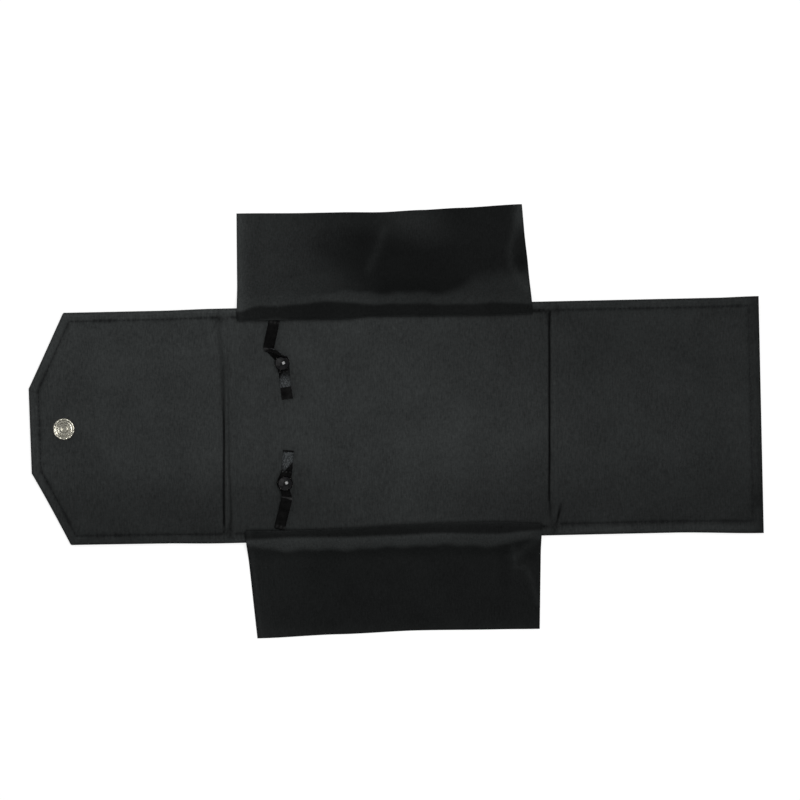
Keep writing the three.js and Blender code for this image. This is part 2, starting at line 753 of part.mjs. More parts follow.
// One strap: tab with stud and rivet, band with socket, bezel and pearl cap, snapped together.
function addStrap(name, strap) {
  const course = strapCourse(strap);
  const x = centreLeftX + strap.capX;
  const y = strap.side * (foldAxes.strap.y - strap.capReach);
  const total = course.getLength();
  const pinClear = pinRadius + metalGap;
  const trim = seamTrimmer(strap);
  const tabHole = drill(pinClear, tabAtSnap, studBottom, x, y, strapSegments);
  const bandHole = drill(pinClear, bandAtSnap, bezelBottom, x, y, strapSegments);
  const tab = ribbonGeometry(strap, course, tabProfile(course), total - ribbonHem);
  const band = ribbonGeometry(strap, course, bandProfile(course), total);
  const turned = (profile) => latheGeometry(profile, strapSegments, x, y);
  const claws = Array.from({ length: clawCount }, (_, i) =>
    clawGeometry((2 * Math.PI * (i + strap.side / 4)) / clawCount, x, y));
  addPiece(name + "_strap_tab", cut(tab, tabHole, trim), velvetRibbon);
  addPiece(name + "_strap_rivet", turned(rivetProfile()), nickel);
  addPiece(name + "_strap_stud", turned(strapStudProfile()), nickel);
  addPiece(name + "_strap_band", cut(band, bandHole, trim), velvetRibbon);
  addPiece(name + "_strap_socket", turned(strapSocketProfile()), nickel);
  addPiece(name + "_pearl_bezel", join(turned(bezelPlateProfile()), ...claws), nickel);
  addPiece(name + "_pearl_cap", turned(pearlProfile()), blackPearl);
}

addCentrePanel();
addClosingPanel();
addFrontPanel();
addSpine("left_spine", closingCreaseX, centreLeftX);
addSpine("right_spine", centreRightX, frontCreaseX);
addSideFlap("upper", 1, upperFlapEnds);
addSideFlap("lower", -1, lowerFlapEnds);
addPressSnap();
addStrap("upper", upperStrap);
addStrap("lower", lowerStrap);

export default folder;
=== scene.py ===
# Necklace folder: the cloth, ribbons, fittings, stage and light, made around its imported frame.
# Metres. +Z is up, +X points to the front panel and +Y to the upper side flap.
# Shapes are worked out in millimetres, and turned to metres where a mesh or a frame call gets them.
import json
import math
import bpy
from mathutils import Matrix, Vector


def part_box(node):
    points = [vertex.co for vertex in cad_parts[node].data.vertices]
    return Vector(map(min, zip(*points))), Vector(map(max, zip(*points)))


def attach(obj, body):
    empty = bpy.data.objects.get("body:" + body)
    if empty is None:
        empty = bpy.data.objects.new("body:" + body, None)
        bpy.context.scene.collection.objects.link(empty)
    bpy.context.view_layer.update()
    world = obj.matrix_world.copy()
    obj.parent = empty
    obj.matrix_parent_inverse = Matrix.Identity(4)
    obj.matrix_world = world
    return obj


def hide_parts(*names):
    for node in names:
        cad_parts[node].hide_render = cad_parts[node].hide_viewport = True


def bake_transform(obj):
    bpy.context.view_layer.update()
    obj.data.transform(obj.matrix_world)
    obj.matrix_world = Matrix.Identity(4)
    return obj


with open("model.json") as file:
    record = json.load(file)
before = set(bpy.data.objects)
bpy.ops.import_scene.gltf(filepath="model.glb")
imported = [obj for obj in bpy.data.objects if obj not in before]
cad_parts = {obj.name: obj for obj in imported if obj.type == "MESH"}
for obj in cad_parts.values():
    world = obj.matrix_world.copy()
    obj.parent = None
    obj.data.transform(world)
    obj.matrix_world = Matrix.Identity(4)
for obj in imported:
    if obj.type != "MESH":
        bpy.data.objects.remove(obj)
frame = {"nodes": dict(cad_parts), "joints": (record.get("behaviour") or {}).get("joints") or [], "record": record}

from types import SimpleNamespace

import bpy
import numpy as np
from mathutils import Vector

bl_info = {
    "name": "Necklace Folder",
    "version": (1, 0, 0),
    "blender": (4, 5, 0),
    "location": "3D View > Sidebar > Folder",
    "description": "Satin cloth, velvet straps, press snap and studio for a necklace folder",
    "category": "Add Mesh",
}

MM = 0.001
TURN = 2 * math.pi
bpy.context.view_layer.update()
HINGE = {joint["name"]: Vector(joint["pos_m"]) / MM for joint in frame["joints"]}


def box(node):
    """A node's lowest and highest corner in the frame, in millimetres."""
    low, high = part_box(node)
    return Vector(low) / MM, Vector(high) / MM


def middle_of(node):
    """The middle of a node's box seen from above."""
    low, high = box(node)
    return np.array([(low.x + high.x) / 2, (low.y + high.y) / 2])


# Places of the panels, and the closing flap's chamfered tip
TIP_X = box("closing_cover")[0].x
FRONT_EDGE = box("front_cover")[1].x
HALF_DEPTH = box("centre_cover")[1].y
SPINES = {
    "left_spine": (HINGE["closing_flap_fold"].x, HINGE["left_spine_fold"].x),
    "right_spine": (HINGE["right_spine_fold"].x, HINGE["front_panel_fold"].x),
}
(CLOSING_CREASE, LEFT_CREASE), (RIGHT_CREASE, FRONT_CREASE) = SPINES.values()
COVER_BOTTOM = box("centre_cover")[0].z
LINING_TOP = box("centre_lining")[1].z
HEM_TOP = box("left_spine_lining")[1].z
SEAM_Y = HINGE["upper_flap_fold"].y
SNAP = middle_of("snap_socket")
TIP_HALF = 27.2
CHAMFER_RUN = 22.4


def linear(colour):
    """Linear colour from an sRGB hex value: each channel is undone with the sRGB curve."""
    parts = [int(colour[i:i + 2], 16) / 255 for i in (1, 3, 5)]
    return tuple(part / 12.92 if part <= 0.04045 else ((part + 0.055) / 1.055) ** 2.4 for part in parts)


def length(name, description, millimetres):
    """A size that a user may change, kept in metres."""
    return bpy.props.FloatProperty(
        name=name, description=description, default=millimetres * MM, unit="LENGTH", precision=5)


def colour(name, description, hex_value):
    """A colour that a user may change."""
    return bpy.props.FloatVectorProperty(
        name=name, description=description, default=linear(hex_value), size=3, subtype="COLOR",
        min=0, max=1)


class FolderSizes(bpy.types.PropertyGroup):
    """Sizes of the cloth, stitches and ribbons."""

    cloth: length("Cloth", "Thickness of the lining and cover cloth", 0.35)
    seam_inset: length("Seam inset", "Topstitching's distance from a free edge", 5.8)
    edge_round: length("Edge round", "Rounding of a turned cloth edge", 0.5)
    stitch_pitch: length("Stitch pitch", "Distance from one stitch to the next", 3)
    stitch_length: length("Stitch length", "Thread that shows in one stitch", 2.3)
    thread: length("Thread", "Radius of the sewing thread", 0.17)
    puff: length("Hem puff", "How high the hem swells between edge and seam", 1.35)
    pucker: length("Pucker", "Height of the wrinkles along a seam", 0.17)
    crease: length("Crease", "Depth of the main crease in a spine", 1.1)
    flap_cloth: length("Flap cloth", "Thickness of a doubled side flap", 0.9)
    ribbon_width: length("Ribbon width", "Width of a strap's ribbon", 7)
    ribbon: length("Ribbon", "Thickness of a strap's ribbon", 0.45)


class FolderColours(bpy.types.PropertyGroup):
    """Colours of the finishes."""

    lining: colour("Lining", "Satin lining", "#2e3030")
    flap: colour("Side flap", "Thin satin of the side flaps", "#101111")
    cover: colour("Cover", "Woven outer cloth", "#1c1c1e")
    velvet: colour("Velvet", "Pile of the ribbon", "#0b0b0b")
    ribbon_back: colour("Ribbon back", "Satin side of the ribbon", "#2b2d2e")
    thread: colour("Thread", "Sewing thread", "#19191b")
    nickel: colour("Nickel", "Nickel plate", "#c4c1b4")
    pearl: colour("Pearl", "Black pearl cap", "#040405")
    board: colour("Board", "Grey bookbinder's board", "#8d8a84")
    floor: colour("Floor", "Pale table top", "#f4f4f4")


def sizes_now():
    """The open scene's sizes, in millimetres."""
    group = bpy.context.scene.folder_sizes
    return SimpleNamespace(**{name: getattr(group, name) / MM for name in FolderSizes.__annotations__})


# Numbers on whole arrays


def smooth(value, low, high):
    """Smooth step: 0 up to low, 1 from high, and t * t * (3 - 2 t) between them."""
    t = np.clip((value - low) / (high - low), 0, 1)
    return t * t * (3 - 2 * t)


def bump(value, middle, width):
    """Bell curve of height 1: e to the minus square of the distance from middle over width."""
    return np.exp(-(((value - middle) / width) ** 2))


def spot(x, y, middle_x, middle_y, half_x, half_y):
    """Round bell of height 1: a bell along x times a bell along y."""
    return bump(x, middle_x, half_x) * bump(y, middle_y, half_y)


def steps(*runs):
    """Grid lines along one axis, from runs of (start, end, greatest step), without doubled ends."""
    lines = [np.linspace(start, end, max(2, math.ceil(abs(end - start) / step - 1e-4) + 1))
             for start, end, step in runs]
    return np.concatenate([line if i == 0 else line[1:] for i, line in enumerate(lines)])


def wander(knots, value):
    """Smooth curve through (place, offset) knots: the offsets blend by smooth steps between places."""
    result = np.full_like(value, knots[0][1])
    for (start, before), (end, after) in zip(knots, knots[1:]):
        result = result + (after - before) * smooth(value, start, end)
    return result


def near_line(x, y, line):
    """Distance from each point to a polyline, and how far along it the nearest point lies."""
    best = np.full(x.shape, np.inf)
    run = np.zeros(x.shape)
    passed = 0
    for (x0, y0), (x1, y1) in zip(line, line[1:]):
        size = math.hypot(x1 - x0, y1 - y0)
        share = np.clip(((x - x0) * (x1 - x0) + (y - y0) * (y1 - y0)) / size ** 2, 0, 1)
        gap = np.hypot(x - x0 - share * (x1 - x0), y - y0 - share * (y1 - y0))
        run = np.where(gap < best, passed + share * size, run)
        best = np.minimum(gap, best)
        passed += size
    return best, run


def length_along(points):
    """Distance along a line of points, at each of them."""
    return np.concatenate([[0], np.cumsum(np.linalg.norm(np.diff(points, axis=0), axis=1))])


def arc(radius, height, size, first, last, count=12):
    """Points of an arc in radius and height, between two angles in degrees."""
    angles = np.radians(np.linspace(first, last, count))
    return np.stack([radius + size * np.cos(angles), height + size * np.sin(angles)], -1)


def curve(*controls, count=14):
    """Points of a Bezier curve through two to four controls, by repeated blending."""
    share = np.linspace(0, 1, count)[:, None]
    level = [np.asarray(point, float)[None, :] for point in controls]
    while len(level) > 1:
        level = [a * (1 - share) + b * share for a, b in zip(level, level[1:])]
    return level[0]


# Meshes


def new_piece(name, points, faces, slots, face_material=None, sharp=40):
    """A mesh object from an array of points and lists of corner numbers. Its faces are turned outwards
    where the signed volume of its triangles is negative."""
    mesh = bpy.data.meshes.new(name)
    mesh.from_pydata((points * MM).tolist(), [], faces)
    for slot in slots:
        mesh.materials.append(material_for(slot))
    mesh.polygons.foreach_set("use_smooth", np.ones(len(faces), bool))
    if face_material is not None:
        mesh.polygons.foreach_set("material_index", np.asarray(face_material, np.int32))
    mesh.set_sharp_from_angle(angle=math.radians(sharp))
    mesh.update()
    if mesh.validate():
        raise RuntimeError(f"{name} has faces that aren't valid")
    mesh.calc_loop_triangles()
    corners = np.zeros(len(mesh.loop_triangles) * 3, np.int32)
    mesh.loop_triangles.foreach_get("vertices", corners)
    at = points[corners.reshape(-1, 3)]
    if np.einsum("ij,ij->i", at[:, 0], np.cross(at[:, 1], at[:, 2])).sum() < 0:
        mesh.flip_normals()
    return linked(bpy.data.objects.new(name, mesh))


def linked(thing):
    """Puts an object into the scene."""
    bpy.context.scene.collection.objects.link(thing)
    return thing


def quads(a, b, c, d):
    """Four arrays of corner numbers as one list of four-sided faces."""
    return np.stack([a, b, c, d], -1).reshape(-1, 4)


def shell_faces(rows, cols):
    """Faces of a closed sheet over two grids of rows by cols points: top, bottom and rim."""
    top = np.arange(rows * cols).reshape(rows, cols)
    low = top + rows * cols
    ring = np.concatenate([top[0, :-1], top[:-1, -1], top[-1, :0:-1], top[:0:-1, 0]])
    ahead = np.roll(ring, -1)
    return np.concatenate([
        quads(top[:-1, :-1], top[1:, :-1], top[1:, 1:], top[:-1, 1:]),
        quads(low[:-1, :-1], low[:-1, 1:], low[1:, 1:], low[1:, :-1]),
        quads(ring, ahead, ahead + rows * cols, ring + rows * cols),
    ])


def sheet_piece(name, top, bottom, slot, tone, flat=None, under=1.0, second=None, second_from=0):
    """A closed cloth between two grids of points. A factor on its colour at each point of the top is kept
    as an attribute. It holds painted shade and painted highlights, and on a ribbon's tail a patch painted
    dark as its velvet side. The underside's factor, low on the ribbons, is painted shade. Where a pattern
    follows it, it has its own UV map in metres. A second finish covers the underside, the rim and the top
    from a row on."""
    rows, cols = top.shape[:2]
    faces = shell_faces(rows, cols)
    side = np.zeros(len(faces), int)
    if second:
        side[second_from * (cols - 1):] = 1
    piece = new_piece(name, np.concatenate([top.reshape(-1, 3), bottom.reshape(-1, 3)]), faces.tolist(),
                      [slot, second] if second else [slot], side)
    # Factors on the colour: painted light and shade on the top, and one for the underside that paints its shade
    shades = np.full(2 * rows * cols, under, np.float32)
    shades[:rows * cols] = np.broadcast_to(tone, (rows, cols)).ravel()
    piece.data.attributes.new("tone", "FLOAT", "POINT").data.foreach_set("value", shades)
    if flat is not None:
        both = np.concatenate([flat.reshape(-1, 2) * MM] * 2)
        order = np.zeros(len(piece.data.loops), np.int32)
        piece.data.loops.foreach_get("vertex_index", order)
        layer = piece.data.uv_layers.new(name="weave")
        layer.data.foreach_set("uv", both[order].astype(np.float32).ravel())
    return piece


def turned_piece(name, profile, centre, slot, body, node, segments=96, lumps=None):
    """A closed profile of (radius, height) points turned about an upright axis. Ends on the axis are
    closed by triangles that share one pole. The piece rides on a body and stands for a node."""
    profile = np.asarray(profile, float)
    on_axis = profile[:, 0] < 1e-6
    turns = np.arange(segments) / segments * TURN
    ring = profile[~on_axis]
    points = np.stack([
        centre[0] + ring[:, :1] * np.cos(turns),
        centre[1] + ring[:, :1] * np.sin(turns),
        np.repeat(ring[:, 1:], segments, 1),
    ], -1).reshape(-1, 3)
    index = np.arange(len(ring) * segments).reshape(len(ring), segments)
    ahead = np.roll(index, -1, 1)
    if on_axis.any():
        poles = np.stack([np.append(centre, height) for height in profile[on_axis, 1]])
        pole = np.full(segments, len(points))
        ends = np.concatenate([np.stack([pole, index[0], ahead[0]], -1),
                               np.stack([pole + 1, ahead[-1], index[-1]], -1)]).tolist()
        points = np.concatenate([points, poles])
    else:
        ends = []
        index, ahead = np.vstack([index, index[:1]]), np.vstack([ahead, ahead[:1]])
    if lumps:
        points = dented(points, centre, *lumps)
    faces = quads(index[:-1], index[1:], ahead[1:], ahead[:-1]).tolist() + ends
    piece = new_piece(name, points, faces, [slot], sharp=50)
    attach(piece, body)
    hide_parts(node)
    return piece


def dented(points, centre, inner, size):
    """Points of an uneven rolled rim: each point outside a radius moves by sums of sines of its angle,
    more the farther out it lies, as metal does that was rolled by hand pressure."""
    out = points[:, :2] - centre
    radius = np.linalg.norm(out, axis=1)
    angle = np.arctan2(out[:, 1], out[:, 0])
    grow = smooth(radius, inner, 3 * inner)
    lumps = (np.sin(7 * angle + 0.4) + 0.8 * np.sin(13 * angle + 2.0) + 0.7 * np.sin(23 * angle)
             + 0.5 * np.sin(37 * angle + 1.1))
    lift = (np.sin(5 * angle + 1.9) + 0.9 * np.sin(11 * angle + 0.3) + 0.8 * np.sin(19 * angle + 2.6)
            + 0.6 * np.sin(31 * angle))
    flat = points[:, :2] + out / np.maximum(radius, 1e-6)[:, None] * (0.5 * size * grow * lumps)[:, None]
    tall = points[:, 2] + size * grow * smooth(points[:, 2], LINING_TOP, LINING_TOP + 1.2) * lift
    return np.concatenate([flat, tall[:, None]], 1)


# Materials


def add_node(material, kind, inputs=None, links=None, stops=(), **values):
    """Adds one shader node: its own values, the (place, colour) stops of a ramp, its sockets' values
    and links from other nodes' outputs."""
    node = material.node_tree.nodes.new("ShaderNode" + kind)
    for key, value in values.items():
        setattr(node, key, value)
    for number, (place, shade) in enumerate(stops):
        node.color_ramp.elements[number].position = place
        node.color_ramp.elements[number].color = shade
    for key, value in (inputs or {}).items():
        node.inputs[key].default_value = value
    for key, (source, output) in (links or {}).items():
        material.node_tree.links.new(source.outputs[output], node.inputs[key])
    return node


def new_material(name):
    """An empty node material."""
    material = bpy.data.materials.new(name)
    material.use_nodes = True
    material.node_tree.nodes.clear()
    return material


def scaled(shade, factor):
    """A colour made lighter or darker, with full alpha."""
    return (*(min(1.0, part * factor) for part in shade), 1.0)


def finish_material(material, shade, pattern, stops, looks, relief=None, gloss=None, with_painted_light=False):
    """Ends a material. A pattern spreads its colour between two (place, factor) stops. Relief is (height
    pattern, strength, millimetres) and gloss is (pattern, least, greatest roughness). Where asked, a
    cloth's colour is also scaled by its attribute of painted light and shade, so that seams and creases
    get painted shade and folds get painted highlights."""
    tint = add_node(material, "ValToRGB", links={"Fac": pattern},
                    stops=[(place, scaled(shade, factor)) for place, factor in stops])
    links = {"Base Color": (tint, "Color")}
    if with_painted_light:
        # Painted light and shade from the attribute scale the colour
        tone = add_node(material, "Attribute", attribute_name="tone")
        tint = add_node(material, "VectorMath", operation="SCALE",
                        links={0: (tint, "Color"), "Scale": (tone, "Fac")})
        links = {"Base Color": (tint, "Vector")}
    if gloss:
        rough = add_node(material, "MapRange", {"To Min": gloss[1], "To Max": gloss[2]},
                         {"Value": gloss[0]})
        links["Roughness"] = (rough, "Result")
    if relief:
        lift = add_node(material, "Bump", {"Strength": relief[1], "Distance": relief[2] * MM},
                        {"Height": relief[0]})
        links["Normal"] = (lift, "Normal")
    shader = add_node(material, "BsdfPrincipled", looks, links)
    add_node(material, "OutputMaterial", links={"Surface": (shader, "BSDF")})


def satin(material, shade, place, gloss, shine, threads):
    """Woven satin: long floats along one thread give a soft streaked sheen, and the crossing thread a
    fine grain. The thread pitch is drawn at about twice its real size, so that it shows at all."""
    pitch = threads * MM
    stretched = add_node(material, "Mapping", {"Scale": (1 / pitch, 0.18 / pitch, 1 / pitch)},
                         {"Vector": place})
    floats = add_node(material, "TexNoise", {"Scale": 1.0, "Detail": 2.0, "Roughness": 0.6},
                      {"Vector": (stretched, "Vector")})
    grain = add_node(material, "TexNoise",
                     {"Scale": 1 / (1.9 * pitch), "Detail": 3.0, "Roughness": 0.7}, {"Vector": place})
    patches = add_node(material, "TexNoise",
                       {"Scale": 1 / (26 * MM), "Detail": 4.0, "Roughness": 0.55}, {"Vector": place})
    weave = add_node(material, "Mix", {"Factor": 0.5}, data_type="FLOAT",
                     links={"A": (floats, "Fac"), "B": (grain, "Fac")})
    spread = add_node(material, "Mix", {"Factor": 0.25}, data_type="FLOAT",
                      links={"A": (weave, "Result"), "B": (patches, "Fac")})
    finish_material(material, shade, (spread, "Result"), ((0.3, 0.5), (0.7, 1.55)),
                    {"Specular IOR Level": shine}, ((weave, "Result"), 0.35, 0.12),
                    ((patches, "Fac"), gloss - 0.07, gloss + 0.09), with_painted_light=True)


def satin_lining(material, shade, place):
    """The lining: duchesse satin, crushed and a little dull."""
    satin(material, shade, place, 0.58, 0.025, 0.75)


def thin_satin(material, shade, place):
    """The side flaps: a thinner, finer satin that drinks more light."""
    satin(material, shade, place, 0.6, 0.015, 0.6)


def ribbon_velvet(material, shade, place):
    """Velvet ribbon: a dense short pile that swallows light seen from above. The light at its folds is a
    painted highlight, carried by the attribute that scales its colour. The pile is about 0.1 mm a tuft,
    drawn at 0.35 mm."""
    pile = add_node(material, "TexNoise",
                    {"Scale": 1 / (0.35 * MM), "Detail": 3.0, "Roughness": 0.75}, {"Vector": place})
    nap = add_node(material, "TexNoise", {"Scale": 1 / (3.5 * MM), "Detail": 2.0},
                   {"Vector": place})
    both = add_node(material, "Mix", {"Factor": 0.45}, data_type="FLOAT",
                    links={"A": (pile, "Fac"), "B": (nap, "Fac")})
    finish_material(
        material, shade, (both, "Result"), ((0.35, 0.4), (0.68, 2.2)),
        {"Roughness": 0.95, "Specular IOR Level": 0.04, "Sheen Weight": 0.04, "Sheen Roughness": 0.35},
        ((pile, "Fac"), 0.8, 0.25), with_painted_light=True)


def woven_cover_cloth(material, shade, place):
    """Plain-woven outer cloth, matt: two sets of threads that cross over and under. They are 0.5 mm
    apart on the real cloth, and drawn at 0.8 mm."""
    warp, weft = (add_node(
        material, "TexWave", {"Scale": 0.314 / (0.8 * MM), "Distortion": 0.4, "Detail": 1.0},
        {"Vector": place}, bands_direction=way) for way in "XY")
    crossing = add_node(material, "Math", operation="MULTIPLY",
                        links={0: (warp, "Fac"), 1: (weft, "Fac")})
    lint = add_node(material, "TexNoise",
                    {"Scale": 1 / (9 * MM), "Detail": 5.0, "Roughness": 0.65}, {"Vector": place})
    both = add_node(material, "Mix", {"Factor": 0.5}, data_type="FLOAT",
                    links={"A": (crossing, "Value"), "B": (lint, "Fac")})
    finish_material(
        material, shade, (both, "Result"), ((0.15, 0.6), (0.8, 1.4)),
        {"Roughness": 0.82, "Specular IOR Level": 0.2, "Sheen Weight": 0.1, "Sheen Roughness": 0.5},
        ((crossing, "Value"), 0.6, 0.15))


def ribbon_satin_back(material, shade, place):
    """Satin back of the velvet ribbon: floats along the ribbon, with painted glints where the noise spreads
    its colour up to four and a half times itself. It reads the ribbon's own map, whose units are metres
    across and along it."""
    along = add_node(material, "Mapping", {"Scale": (1 / (0.5 * MM), 1 / (1.3 * MM), 1.0)},
                     {"Vector": (place[0], "UV")})
    floats = add_node(material, "TexNoise", {"Scale": 1.0, "Detail": 3.0, "Roughness": 0.7},
                      {"Vector": (along, "Vector")})
    # Painted glints: bright specks in the colour stand in for the satin's sparkle
    finish_material(material, shade, (floats, "Fac"), ((0.4, 0.6), (0.7, 4.6)),
                    {"Roughness": 0.5, "Specular IOR Level": 0.03}, ((floats, "Fac"), 0.9, 0.3),
                    with_painted_light=True)


def nickel_plated_steel(material, shade, place):
    """Nickel-plated pressed steel: bright, a little warm, with fine drawing marks and dull handling
    spots that blur the reflections."""
    marks = add_node(material, "TexNoise",
                     {"Scale": 1 / (0.8 * MM), "Detail": 4.0, "Roughness": 0.6}, {"Vector": place})
    finish_material(material, shade, (marks, "Fac"), ((0.35, 0.7), (0.6, 1.0)), {"Metallic": 1.0},
                    ((marks, "Fac"), 0.25, 0.08), ((marks, "Fac"), 0.1, 0.34))


def black_pearl_lacquer(material, shade, place):
    """Imitation black pearl: a dark body under a clear lacquer, faintly cloudy, so that lamps show as
    small sharp spots."""
    clouds = add_node(material, "TexNoise", {"Scale": 1 / (2.5 * MM), "Detail": 3.0},
                      {"Vector": place})
    finish_material(material, shade, (clouds, "Fac"), ((0, 0.6), (1, 2.0)),
                    {"Roughness": 0.3, "Specular IOR Level": 0.0, "Coat Weight": 1.0, "Coat IOR": 1.45,
                     "Coat Roughness": 0.1})


def pressed_grey_board(material, shade, place):
    """Grey bookbinder's board: pressed waste paper with darker and lighter fibre specks."""
    fibres = add_node(material, "TexNoise",
                      {"Scale": 1 / (1.2 * MM), "Detail": 6.0, "Roughness": 0.8}, {"Vector": place})
    finish_material(material, shade, (fibres, "Fac"), ((0.3, 0.7), (0.7, 1.2)), {"Roughness": 0.92},
                    ((fibres, "Fac"), 0.4, 0.1))


def sewing_thread(material, shade, place):
    """Polyester sewing thread: two plies twisted 0.6 mm a turn, with a small gloss."""
    plies = add_node(material, "TexWave", {"Scale": 0.314 / (0.6 * MM), "Distortion": 1.0},
                     {"Vector": place}, bands_direction="DIAGONAL")
    finish_material(material, shade, (plies, "Fac"), ((0, 0.5), (1, 1.8)),
                    {"Roughness": 0.6, "Specular IOR Level": 0.05}, ((plies, "Fac"), 0.5, 0.08))


# Each finish's material, which is named as its function, and its colour
FINISHES = {
    "lining_satin": (satin_lining, "lining"),
    "flap_satin": (thin_satin, "flap"),
    "cover_cloth": (woven_cover_cloth, "cover"),
    "velvet_ribbon": (ribbon_velvet, "velvet"),
    "ribbon_back": (ribbon_satin_back, "ribbon_back"),
    "nickel_plate": (nickel_plated_steel, "nickel"),
    "black_pearl": (black_pearl_lacquer, "pearl"),
    "grey_board": (pressed_grey_board, "board"),
    "thread": (sewing_thread, "thread"),
}


def material_for(slot):
    """The one material of a finish, made the first time that it is asked for."""
    maker, shade = FINISHES[slot]
    name = maker.__name__
    if name not in bpy.data.materials:
        material = new_material(name)
        place = add_node(material, "TexCoord")
        maker(material, getattr(bpy.context.scene.folder_colours, shade), (place, "Object"))
    return bpy.data.materials[name]


# Panels: outlines, seams and heights


def half_depth(x):
    """Half of the row's depth at x: full, then falling in a straight line along the tip's chamfers."""
    share = np.clip((TIP_X + CHAMFER_RUN - x) / CHAMFER_RUN, 0, 1)
    return HALF_DEPTH + (TIP_HALF - HALF_DEPTH) * share


def free_inset(x, y):
    """Distance from each point to the nearest free edge of the row of panels."""
    slope = (HALF_DEPTH - TIP_HALF) / CHAMFER_RUN
    chamfer = (TIP_HALF + slope * (x - TIP_X) - np.abs(y)) / math.hypot(1, slope)
    return np.min([HALF_DEPTH - np.abs(y), x - TIP_X, FRONT_EDGE - x, chamfer], axis=0)


def rounding(inset, radius):
    """How far a rounded edge has fallen at an inset from it: a quarter circle."""
    short = radius - np.clip(inset, 0, radius)
    return radius - np.sqrt(radius ** 2 - short ** 2)


def seam_lines(inset):
    """Lines of topstitching at an inset from the free edges: round the closing flap, along both long
    sides of the centre panel, and round the front panel, whose own seam lies a little farther in."""
    slope = math.atan2(HALF_DEPTH - TIP_HALF, CHAMFER_RUN)
    side = HALF_DEPTH - inset
    tip_x, tip_y = TIP_X + inset, TIP_HALF - inset * math.tan((TURN / 4 - slope) / 2)
    shoulder = TIP_X + CHAMFER_RUN + inset * math.tan(slope / 2)
    end, low = FRONT_EDGE - inset - 1.2, 1.5 - side
    return {
        "closing_flap": [[(CLOSING_CREASE, -side), (shoulder, -side), (tip_x, -tip_y), (tip_x, tip_y),
                          (shoulder, side), (CLOSING_CREASE, side)]],
        "back_panel": [[(LEFT_CREASE, y), (RIGHT_CREASE, y)] for y in (-side, side)],
        "front_panel": [[(FRONT_CREASE, low), (end, low), (end, side), (FRONT_CREASE, side)]],
    }


# The creases of the spines as (y, x) knots down the panel, with depth, half width and painted shade (a
# negative one is a painted highlight), and knots for how the width and the strength change down the
# panel
CREASES = [
    {"knots": [(-75, -112.4), (-57, -112.0), (6, -110.8), (40, -110.8), (52, -112.2), (75, -112.4)],
     "depth": 1.0, "width": 0.75, "painted_shade": 0.88, "spread": [(-75, 0.9), (5, 0.9), (25, 2.2), (75, 2.6)],
     "strength": [(-75, 0.05), (-67, 0.2), (-62, 1.0), (-5, 1.0), (25, 0.55), (48, 0.35), (75, 0.2)]},
    {"knots": [(-75, -108.6), (-57, -107.4), (-25, -108.0), (40, -107.6), (75, -107.4)],
     "depth": 0.45, "width": 0.8, "painted_shade": 0.5, "spread": [(-75, 1.0), (75, 1.0)],
     "strength": [(-75, 0.1), (-68, 0.5), (-60, 1.0), (-35, 0.8), (10, 0.4), (75, 0.2)]},
    {"knots": [(-75, 98.0), (-58, 96.9), (-50, 96.5), (-16, 97.4), (6, 97.9), (50, 98.7), (75, 99.5)],
     "depth": 1.0, "width": 0.75, "painted_shade": 0.95, "spread": [(-75, 1.2), (-40, 0.8), (50, 0.9), (75, 1.1)],
     "strength": [(-75, 0.0), (-66, 0.2), (-58, 0.55), (-45, 0.9), (-20, 1.0), (66, 0.9), (70, 0.15),
                  (75, 0.1)]},
    {"knots": [(-75, 101.5), (-40, 101.2), (75, 101.3)],
     "depth": -0.12, "width": 0.9, "painted_shade": -0.12, "spread": [(-75, 1.0), (75, 1.0)],
     "strength": [(-75, 1.0), (75, 1.0)]},
]

# Soft dents in the lining: middle, half sizes and depth
DENTS = [
    (83.5, -22.3, 5.5, 2.0, 0.28), (109.4, -22.9, 4.0, 1.8, 0.22), (85.4, -39.3, 5.0, 3.5, 0.2),
    (-60.0, -55.0, 7.0, 5.0, 0.35), (-188.0, -62.0, 9.0, 4.0, 0.3),
]

# Slack folds that run from a seam's corner into a panel: ends, width, height, painted shade (a negative one is a
# painted highlight)
PULLS = [
    ((100.1, -71.0), (104.4, -53.0), 0.8, -0.6, 0.85), ((102.8, -71.0), (107.0, -56.0), 0.9, 0.3, -0.1),
    ((98.2, 70.5), (97.6, 60.0), 1.0, -0.3, 0.3), ((-118.5, 68.0), (-119.5, 48.0), 0.9, 0.25, -0.12),
    ((-112.0, 70.0), (-118.0, 58.0), 0.9, -0.25, 0.15),
    ((-110.5, -70.5), (-107.4, -58.0), 0.8, -0.35, 0.4),
]

# Painted shade in pinched places of the lining at the ends of the spines: middle, half sizes, strength of the
# painted shade
PINCHES = [
    (-112.4, 68.4, 4.4, 2.4, 0.65), (-112.1, -67.6, 1.6, 2.6, 0.7), (-107.8, -67.0, 1.8, 2.4, 0.65),
    (-108.3, -70.7, 1.8, 1.8, 0.6), (98.3, 68.8, 4.6, 1.5, 0.8), (104.2, 69.4, 2.6, 2.2, 0.6),
    (99.6, -69.8, 2.0, 3.2, 0.7), (90.5, 69.0, 5.0, 1.4, 0.6),
]

# Slow waves of the glued lining: length, direction in degrees, height, phase
WAVES = [(160, 20, 0.10, 0.4), (95, 75, 0.07, 2.1), (64, 140, 0.05, 4.0), (45, 100, 0.035, 1.2)]


def crease_lines(x, y):
    """Each crease: its knots, the distance from its line over its half width, and its strength at y."""
    for crease in CREASES:
        width = crease["width"] * wander(crease["spread"], y)
        yield crease, (x - wander(crease["knots"], y)) / width, wander(crease["strength"], y)


def pulled(x, y):
    """Each slack fold, a bell across its line that fades towards both ends, its height and its painted shade."""
    for start, end, width, rise, painted_shade in PULLS:
        gap, run = near_line(x, y, [start, end])
        fade = np.sin(math.pi * np.clip(run / math.dist(start, end), 0, 1))
        yield bump(gap, 0, width) * fade, rise, painted_shade


